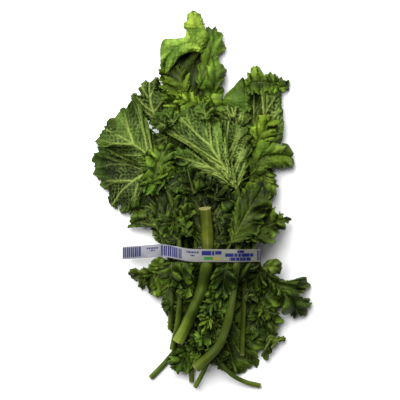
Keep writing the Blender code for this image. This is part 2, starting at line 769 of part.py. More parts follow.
def make_stalk(leaf):
    """A stalk as a tapered curve with filled ends, made a mesh whose caps are welded on."""
    line, radius = stalk_line(leaf)
    curve = bpy.data.curves.new("stalk_line", "CURVE")
    curve.dimensions = "3D"
    curve.bevel_depth = MM
    widest = max(leaf["radii"])
    curve.bevel_resolution = 1 + 2 * (widest > SECOND_STALK) + (widest > THICK_STALK)
    curve.use_fill_caps = True
    spline = curve.splines.new("POLY")
    spline.points.add(len(line) - 1)
    for point, place, thick in zip(spline.points, line, radius):
        point.co = (*(place * MM), 1.0)
        point.radius = thick
    thing = bpy.data.objects.new("stalk_line", curve)
    bpy.context.scene.collection.objects.link(thing)
    bpy.context.view_layer.update()
    mesh = evaluated_copy(thing)
    bpy.data.objects.remove(thing)
    work = bmesh.new()
    work.from_mesh(mesh)
    bmesh.ops.remove_doubles(work, verts=work.verts, dist=WELD)
    bmesh.ops.triangulate(work, faces=work.faces)
    bmesh.ops.recalc_face_normals(work, faces=work.faces)
    work.to_mesh(mesh)
    work.free()
    return mesh


def make_blade(form, collection):
    """A blade as a grid laid on its surface, split into triangles and given its thickness."""
    rows, columns = grid_size(form)
    u, v, _ = grid(rows, columns)
    places = blade_points(form, u, v) * MM
    work = bmesh.new()
    bmesh.ops.create_grid(work, x_segments=columns, y_segments=rows, size=1.0)
    work.verts.ensure_lookup_table()
    for vert in work.verts:
        row = round((vert.co.y + 1.0) * 0.5 * rows)
        column = round((vert.co.x + 1.0) * 0.5 * columns)
        vert.co = places[row * (columns + 1) + column]
    bmesh.ops.triangulate(work, faces=work.faces, quad_method="FIXED")
    mesh = bpy.data.meshes.new("blade")
    work.to_mesh(mesh)
    work.free()
    thing = bpy.data.objects.new("blade", mesh)
    collection.objects.link(thing)
    wall = thing.modifiers.new("wall", "SOLIDIFY")
    wall.thickness = BLADE_THICKNESS * MM
    wall.offset = 0.0
    bpy.context.view_layer.update()
    solid = evaluated_copy(thing)
    thing.modifiers.clear()
    thing.data = solid
    return thing


def keep_outer_skin(work):
    """Leaves only the skin with the most faces, which fills sealed hollows and drops loose scraps."""
    work.faces.ensure_lookup_table()
    seen = set()
    skins = []
    for face in work.faces:
        if face.index in seen:
            continue
        skin = []
        waiting = [face]
        seen.add(face.index)
        while waiting:
            current = waiting.pop()
            skin.append(current)
            for edge in current.edges:
                for other in edge.link_faces:
                    if other.index not in seen:
                        seen.add(other.index)
                        waiting.append(other)
        skins.append(skin)
    skins.sort(key=len, reverse=True)
    loose = [face for skin in skins[1:] for face in skin]
    bmesh.ops.delete(work, geom=loose, context="FACES")


def make_leaf(leaf, lift, bunch, joined):
    """Joins a leaf's blades and lobes to its stalk in one solid and lifts it to its place in the heap."""
    thing = bpy.data.objects.new(leaf["name"], make_stalk(leaf))
    bunch.objects.link(thing)
    for form in leaf["blades"] + leaf["lobes"]:
        make_blade(form, joined)
    if joined.objects:
        union = thing.modifiers.new("join", "BOOLEAN")
        union.operation = "UNION"
        union.operand_type = "COLLECTION"
        union.collection = joined
        union.solver = "MANIFOLD"
        bpy.context.view_layer.update()
        whole = evaluated_copy(thing)
        thing.modifiers.clear()
        thing.data = whole
        for piece in list(joined.objects):
            bpy.data.objects.remove(piece)
    work = bmesh.new()
    work.from_mesh(thing.data)
    keep_outer_skin(work)
    bmesh.ops.triangulate(work, faces=work.faces)
    for vert in work.verts:
        vert.co.z += MM * float(read_field(lift, np.array([vert.co.x / MM]), np.array([vert.co.y / MM]))[0])
    work.to_mesh(thing.data)
    work.free()
    finish(thing, leaf["colour"], LEAF_ROUGHNESS)
    return thing


def tie_middle(x):
    """The band's middle line along the bunch: straight, slanting up on the left, and falling in the tail."""
    share = np.clip((TIE_SLANT_FROM - x) / (TIE_SLANT_FROM - TIE_SLANT_TO), 0.0, 1.0)
    tail = np.maximum(TIE_SLANT_TO - x, 0.0)
    return TIE_Y + TIE_SLANT * share**2 * (3 - 2 * share) - TAIL_FALL * tail


def points_in_band(mesh):
    """The X and Z of points along those stretches of the mesh's edges that the band passes over."""
    places = np.empty(len(mesh.vertices) * 3)
    mesh.vertices.foreach_get("co", places)
    places = places.reshape(-1, 3) / MM
    ends = np.empty(len(mesh.edges) * 2, dtype=np.int32)
    mesh.edges.foreach_get("vertices", ends)
    ends = places[ends.reshape(-1, 2)]
    share = np.linspace(0, 1, EDGE_STEPS)[None, :, None]
    points = (ends[:, :1] * (1 - share) + ends[:, 1:] * share).reshape(-1, 3)
    close = np.abs(points[:, 1] - tie_middle(points[:, 0])) < TIE_WIDTH * 0.5 + EDGE_MARGIN
    close &= (points[:, 0] > TIE_REACH[0]) & (points[:, 0] < TIE_REACH[1])
    return points[close][:, [0, 2]]


def tie_outline(held):
    """The band's inner outline in X and Z: tangent lines all round what it holds, cut with each other."""
    turn = np.arange(TIE_SIDES) * 2 * math.pi / TIE_SIDES - math.pi / 2
    normal = np.stack([np.cos(turn), np.sin(turn)], axis=1)
    reach = (held @ normal.T).max(axis=0) + TIE_GAP
    following = np.roll(normal, -1, axis=0)
    after = np.roll(reach, -1)
    cross = normal[:, 0] * following[:, 1] - normal[:, 1] * following[:, 0]
    x = (reach * following[:, 1] - after * normal[:, 1]) / cross
    z = (after * normal[:, 0] - reach * following[:, 0]) / cross
    return np.stack([x, z], axis=1)


def band_strip(outline, closed, collection, name):
    """A strip of the band's width along an outline in X and Z, given the paper's thickness outwards."""
    count = len(outline)
    work = bmesh.new()
    segments = count if closed else count - 1
    bmesh.ops.create_grid(work, x_segments=segments, y_segments=1, size=1.0)
    for vert in work.verts:
        step = round((vert.co.x + 1.0) * 0.5 * segments)
        x, z = outline[step % count]
        edge = 1.0 if vert.co.y > 0 else -1.0
        y = float(tie_middle(x)) + edge * TIE_WIDTH * 0.5
        vert.co = (x * MM, y * MM, z * MM)
    if closed:
        bmesh.ops.remove_doubles(work, verts=work.verts, dist=WELD)
    bmesh.ops.triangulate(work, faces=work.faces, quad_method="FIXED")
    mesh = bpy.data.meshes.new(name)
    work.to_mesh(mesh)
    work.free()
    thing = bpy.data.objects.new(name, mesh)
    collection.objects.link(thing)
    wall = thing.modifiers.new("wall", "SOLIDIFY")
    wall.thickness = TIE_THICKNESS * MM
    wall.offset = -1.0
    wall.use_even_offset = True
    bpy.context.view_layer.update()
    solid = evaluated_copy(thing)
    thing.modifiers.clear()
    thing.data = solid
    return thing


def make_tie(held, bunch, joined):
    """The paper band round the bunch, with the tail that is left over after its ends are pressed together."""
    outline = tie_outline(held)
    ring = band_strip(outline, True, bunch, "tie")
    upper = outline[outline[:, 1] > outline[:, 1].mean()]
    upper = upper[np.argsort(upper[:, 0])]
    root = upper[0, 0] + TAIL_ROOT
    share = np.linspace(0, 1, TAIL_STEPS)
    x = root - TAIL_LENGTH * share
    z = np.interp(root, upper[:, 0], upper[:, 1]) + TIE_THICKNESS * 0.5 - TAIL_DROP * share * (1.6 - share)
    band_strip(np.stack([x, z], axis=1)[::-1], False, joined, "tail")
    union = ring.modifiers.new("join", "BOOLEAN")
    union.operation = "UNION"
    union.operand_type = "COLLECTION"
    union.collection = joined
    union.solver = "MANIFOLD"
    bpy.context.view_layer.update()
    whole = evaluated_copy(ring)
    ring.modifiers.clear()
    ring.data = whole
    for piece in list(joined.objects):
        bpy.data.objects.remove(piece)
    finish(ring, PAPER_WHITE, PAPER_ROUGHNESS)
    return ring


def main():
    for thing in list(bpy.data.objects):
        bpy.data.objects.remove(thing)
    bunch = bpy.data.collections.new("bunch_of_mustard_greens")
    joined = bpy.data.collections.new("pieces_to_join")
    bpy.context.scene.collection.children.link(bunch)
    bpy.context.scene.collection.children.link(joined)

    heap = np.full(field_cells(), -CLEARANCE)
    middle = FIELD_Y[0] + (np.arange(heap.shape[1]) + 0.5) * CELL
    under_tie = np.abs(middle - TIE_Y - TIE_SLANT * 0.5) < TIE_WIDTH * 0.5 + TIE_SLANT
    heap[:, under_tie] = TIE_THICKNESS + TIE_GAP
    held = []
    for leaf in LEAVES:
        lift, heap = lay(leaf, heap)
        thing = make_leaf(leaf, lift, bunch, joined)
        held.append(points_in_band(thing.data))
    flat = TIE_THICKNESS + TIE_GAP
    held.append(np.array([[TIE_FLAT[0], flat], [TIE_FLAT[1], flat]]))
    make_tie(np.concatenate(held), bunch, joined)
    bpy.data.collections.remove(joined)


main()
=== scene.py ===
"""The looks of a bunch of curly mustard greens that lies on a white board, held by a paper tie.

Every leaf is worked out anew on a fine grid from the rib, the two margins and the stalk that its solid
has, and gets what the solid leaves out: teeth and frills along its margin, veins that stand out below
and sink in above, and the puckered net between them. The leaves are then laid on each other as the
solids were. Lengths are in millimetres until a mesh is made.
"""

import math

import bpy
import numpy as np
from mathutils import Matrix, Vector


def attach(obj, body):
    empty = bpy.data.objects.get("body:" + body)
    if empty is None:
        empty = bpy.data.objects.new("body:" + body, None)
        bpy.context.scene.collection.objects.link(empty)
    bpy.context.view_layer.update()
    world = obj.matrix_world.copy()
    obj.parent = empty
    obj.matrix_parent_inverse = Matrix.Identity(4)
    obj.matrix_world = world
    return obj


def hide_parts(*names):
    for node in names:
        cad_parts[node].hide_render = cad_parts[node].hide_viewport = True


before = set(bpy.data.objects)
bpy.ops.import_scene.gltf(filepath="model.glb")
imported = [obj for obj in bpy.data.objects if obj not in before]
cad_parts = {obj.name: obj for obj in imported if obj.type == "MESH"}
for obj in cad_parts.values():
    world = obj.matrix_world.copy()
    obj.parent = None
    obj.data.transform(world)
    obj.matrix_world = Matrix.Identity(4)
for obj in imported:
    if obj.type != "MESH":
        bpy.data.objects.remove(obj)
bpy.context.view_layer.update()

MM = 0.001

# A blade's grid and thickness, and the shares of its rib and margins at which it ends, so that its tip is
# a short edge
GRID_STEP = 1.12
BLADE_WALL = 0.5
RIB_END = 0.97
MARGIN_END = 0.985

# Slow irregular waves over a blade, each as (its size, what it adds to the blade's seed)
DRIFT_SINES = 5
DRIFT_SWING = 1.6
WAY_DRIFT = (30.0, 3)
FRILL_DRIFT = (30.0, 4)
TEETH_DRIFT = (40.0, 9)
LEAN_DRIFT = (45.0, 10)
CRUMPLE_DRIFT = (24.0, 6)
FINE_CRUMPLE_DRIFT = (11.0, 7)
NET_X_DRIFT = (14.0, 0)
NET_Y_DRIFT = (14.0, 1)
NET_PATCH_DRIFT = (26.0, 12)
TONE_DRIFT = (38.0, 5)
EDGE_DRIFT = (9.0, 8)
WARM_DRIFT = (50.0, 11)

# A lobe's margin as (way ahead, way out), in shares of its length and of half its width
LOBE_SHAPE = ((0.0, 0.15), (0.08, 0.75), (0.4, 1.1), (0.75, 0.95), (0.97, 0.45), (1.0, 0.0))

# The margin's ripples as (length, phase, height, width of their strip), how far each bends the next one
# and leans over, its teeth as (length, phase, reach) in a strip, and the wave that carries the teeth
RIPPLES = ((25.0, 1.0, 3.2, 28.0), (11.0, 1.3, 2.8, 14.0), (5.2, 2.0, 0.8, 5.0))
RIPPLE_PULL = 0.8
RIPPLE_LEAN = 1.2
TEETH = ((6.3, 1.0, 1.5), (3.1, 0.7, 0.7))
TEETH_STRIP = 6.0
TEETH_WAVE = 15.0
TEETH_WAVE_REACH = 1.7
TEETH_OUTSET = 0.6

# How high the blade crumples, in broad and in small waves
CRUMPLE = 1.6
FINE_CRUMPLE = 0.8

# How far from the tie's middle a blade is still held flat, and where it is free
FLAT_TO = 6.5
FREE_FROM = 20.0

# The veins: how far they stand out and sink in, how far out they reach, the widest and narrowest half
# width of a side vein and of a fork, each fork as (where it leaves, how much more it turns), and how far
# the puckers rise from them
VEIN_RELIEF = 0.8
VEIN_SUNK = 0.35
VEIN_REACH = 0.95
RIB_NARROWEST = 0.6
SIDE_VEIN = (0.9, 0.4)
FORK_VEIN = (0.5, 0.3)
FORKS = ((0.3, 0.12), (0.55, -0.10))
PUCKER_RISE = 3.5

# The net between the veins: its meshes, how far it wobbles, the steps that pick a point for each square,
# and a length that is more than any gap
MESH_SIZE = 3.6
NET_WOBBLE = 0.9
NET_COLUMN_STEP = 73
NET_ROW_STEP = 157
NET_SEED_STEP = 31
FAR = 99.0

# A stalk's rings and sides, its swellings as (share, pitch), its ribs as (share, number, phase), and the
# rings of a cut end as (share of the radius, depth)
STALK_STEP = 1.6
THICK_STALK_FROM = 4.0
THICK_STALK_SIDES = 28
THIN_STALK_SIDES = 16
STALK_SWELLS = ((0.03, 11.0), (0.02, 4.7))
STALK_RIBS = ((0.035, 7, 1), (0.02, 11, 2))
END_RINGS = ((0.93, -0.15), (0.6, 0.1), (0.25, 0.45))
END_DEPTH = 0.5
CUT_RIM = 0.6

# How a leaf is laid down: the gap below it, the strip that the tie holds, how far its neighbourhood
# reaches, how deep it may hang, and how many times the lift of a limp leaf and of a stiff stalk is blurred
CLEARANCE = 0.25
HELD_BY_TIE = 10.0
NEAR_CELLS = 3
LOWEST_SAG = -60.0
LIMP = 2
STIFF = 60

# How the heap sinks: its limit, how much of the sinking reaches the stalks near the tie, the layer that
# keeps its form, how far a tip may stand up from the crest, how high the heap begins above the tie's lower
# stretch and above the board, and how many times its crest is blurred
TALLEST = 58.0
TIE_GIVE = 0.25
TIE_GIVE_TO = 9.0
FULL_GIVE_FROM = 34.0
LOOSE_LAYER = 18.0
SPARE = 9.0
UNDER_TIE = 2.9
SKIN_ABOVE_BOARD = 0.6
CREST_ROUNDS = 30

# Painted shade under the heap's top and in a leaf's own hollows, and painted light on its crests
DEEP = 16.0
PAINTED_DEEP_SHADE = 0.27
HOLLOW_ROUNDS = 60
PAINTED_HOLLOW_SHADE = 0.11
BRIGHTEST_PAINTED_CREST = 0.12
DARKEST_PAINTED_HOLLOW = 0.34

# The materials of a leaf, by their places in its list
UPPER_SIDE = 0
UNDERSIDE = 1
STALK_SKIN = 2

# The materials' noises: their sizes in millimetres, how much each adds to a tone, and the bumps' depths
MOTTLE_SIZE = 6.25
MOTTLE = 0.5
GRAIN_SIZE = 1.1111
GRAIN_DEPTH = 0.4
STREAK_WIDTH = 1.1111
STREAK_LENGTH = 33.333
STREAK = 0.28
STREAK_DEPTH = 0.3
BLOTCH_SIZE = 14.286
BLOTCH = 0.3
WEAR_SIZE = 8.3333
NOISE_MEAN = 0.5

# The sockets of a Mix node for colours, which has several of the same name
SHARE = 0
BASE = 6
LAID_ON = 7
MIXED = 2

# Every form draws its own numbers, by the leaf's number and its own
SEEDS_A_LEAF = 40
OVER_SEED = 500
SPRIG_SEEDS_A_LEAF = 10

# The tie: its line across the bunch, its tail, its ring and its paper, whose edges curl and which buckles
# in two waves, each as (height, length)
TIE_Y = -55.0
TIE_WIDTH = 12.7
TIE_SLANT = 4.5
TIE_SLANT_FROM = -5.0
TIE_SLANT_TO = -38.0
TIE_REACH = (-39.0, 60.5)
TAIL_FALL = 0.07
TAIL_ROOT = -30.0
TAIL_END = -78.0
TAIL_SINK = 10.0
TAIL_UNDER_RING = 1.1
TAIL_ROUNDS = 12
TIE_STEP = 0.6
TIE_COLUMNS = 27
TIE_PAPER = 0.3
TIE_PROUD = 0.75
TIE_CURL = 0.35
TIE_SKEW = (0.25, 5.3)
TIE_BUCKLE = (0.12, 2.9)
RING_GAP = 0.5
RING_ROUNDS = 3
STRAIGHT = 1e-4

# The height field of the heap: its cells, and how its leaves sag and settle on it
CELL = 2.0
FIELD_X = (-130.0, 130.0)
FIELD_Y = (-214.0, 214.0)
SAG = 0.003
SETTLE_STEPS = 400
NOTHING = 1e6

# The points that the net hangs between, each within a square of side 1
SCATTER = np.random.default_rng(11).uniform(0.15, 0.85, (1009, 2))


def blade(rib, left, right, crown=3.0, fold=2.0, folds=2.5, ruffle=3.2, waves=5.0, tooth=1.0, start=0.0,
          lag=1.6, veins=6, spread=0.8, slant=0.3, veining=1.0, frill=1.0, curl=1.0, pleat=0.6, tone=0.0,
          warm=0.0, side=None, midrib=1.3, bare=0.3):
    """A blade's rib and its two margins, each from its base to its tip, how far it bulges, folds and waves,
    how its veins leave the rib and how plain they are, how far it departs from its leaf's colour, in part
    as painted shade, which side it turns up where that isn't the leaf's own, and over which share of its way
    to the margin the net between its veins fades out."""
    return dict(rib=rib, left=left, right=right, crown=crown, fold=fold, folds=folds, ruffle=ruffle,
                waves=waves, tooth=tooth, start=start, lag=lag, veins=veins, spread=spread, slant=slant,
                veining=veining, frill=frill, curl=curl, pleat=pleat, tone=tone, warm=warm, side=side,
                midrib=midrib, bare=bare)


def lobe(root, heading, length, width, rise=4.0, tone=0.0, warm=0.0, frill=1.5, side=None):
    """A small frilled lobe that grows from a stalk at root, pointing to heading in degrees from +X. Its
    margins run out to both sides at once and close in a round tip, so that it opens like a fan."""
    turn = math.radians(heading)
    ahead = np.array([math.cos(turn), math.sin(turn), 0.0])
    aside = np.array([-math.sin(turn), math.cos(turn), 0.0])
    up = np.array([0.0, 0.0, 1.0])
    root = np.asarray(root, float)
    rib = [root, root + ahead * length * 0.5 + up * rise, root + ahead * length + up * rise * 0.6]

    def margin(hand):
        """Wide soon after the root, widest in the middle, closing round at the tip."""
        return [root + ahead * length * forth + aside * hand * width * 0.5 * out + up * rise * forth
                for forth, out in LOBE_SHAPE]

    return blade(rib, margin(1.0), margin(-1.0), crown=1.2, fold=0.9, folds=2.3, ruffle=1.4, waves=3.6,
                 tooth=1.05, start=heading * 0.02, lag=2.2, veins=2, spread=0.5, veining=0.25, frill=frill,
                 curl=0.6, pleat=0.3, tone=tone, warm=warm, side=side, midrib=0.5)


def sprigs(path, radius, first, last, every, size, seed, tone=0.0, warm=0.0):
    """Small frilled lobes along a stalk from the share first to the share last of its length, one after
    every so many millimetres, on its left and its right in turn, each of about that size."""
    draw = np.random.default_rng(seed)
    length = length_of(np.asarray(path, float))
    count = max(int((last - first) * length / every), 1)
    made = []
    for number in range(count):
        share = first + (last - first) * (number + draw.uniform(0.1, 0.9)) / count
        here, ahead = along(path, [share, min(share + 0.02, 1.0)])
        bearing = math.degrees(math.atan2(ahead[1] - here[1], ahead[0] - here[0]))
        turn = (1 if number % 2 else -1) * draw.uniform(25.0, 100.0)
        root = here + np.array([0.0, 0.0, radius * 0.7])
        made.append(lobe(root, bearing + turn, size * draw.uniform(0.8, 1.3), size * draw.uniform(0.8, 1.2),
                         rise=draw.uniform(2.0, 6.0), tone=tone + draw.uniform(-0.08, 0.12),
                         warm=warm + draw.uniform(-0.1, 0.2)))
    return made


def look(side, tone, warm, stalk_tone, stalk_warm, slot):
    """Which side a leaf turns up, how light and how yellow its blade and its stalk are, and a finish slot,
    which is not used.
    """
    return dict(side=side, tone=tone, warm=warm, stalk_tone=stalk_tone, stalk_warm=stalk_warm, slot=slot)


# A look's tone is partly the leaf's own colour and partly painted shade: SHADE and INNER are darkened as
# painted shade for the leaves that lie low and deep in the bunch
SHADE = look("upper", 0.21, 0.22, 0.28, 0.45, "leaf_shade")
INNER = look("upper", 0.08, 0.2, 0.24, 0.45, "leaf_upper")
OLIVE = look("upper", 0.27, 0.45, 0.31, 0.6, "leaf_shade")
GREY_UNDERSIDE = look("under", 0.24, 0.1, 0.30, 0.3, "leaf_underside")
YOUNG = look("upper", 0.64, 0.15, 0.34, 0.5, "leaf_upper")
PALE_UNDERSIDE = look("under", 0.36, 0.05, 0.28, 0.55, "leaf_underside")
FRESH = look("upper", 0.40, 0.12, 0.32, 0.4, "leaf_upper")
BRIGHT = look("upper", 0.48, 0.25, 0.36, 0.3, "leaf_upper")
THICK_STALK = look("upper", 0.40, 0.20, 0.36, 0.35, "stalk")


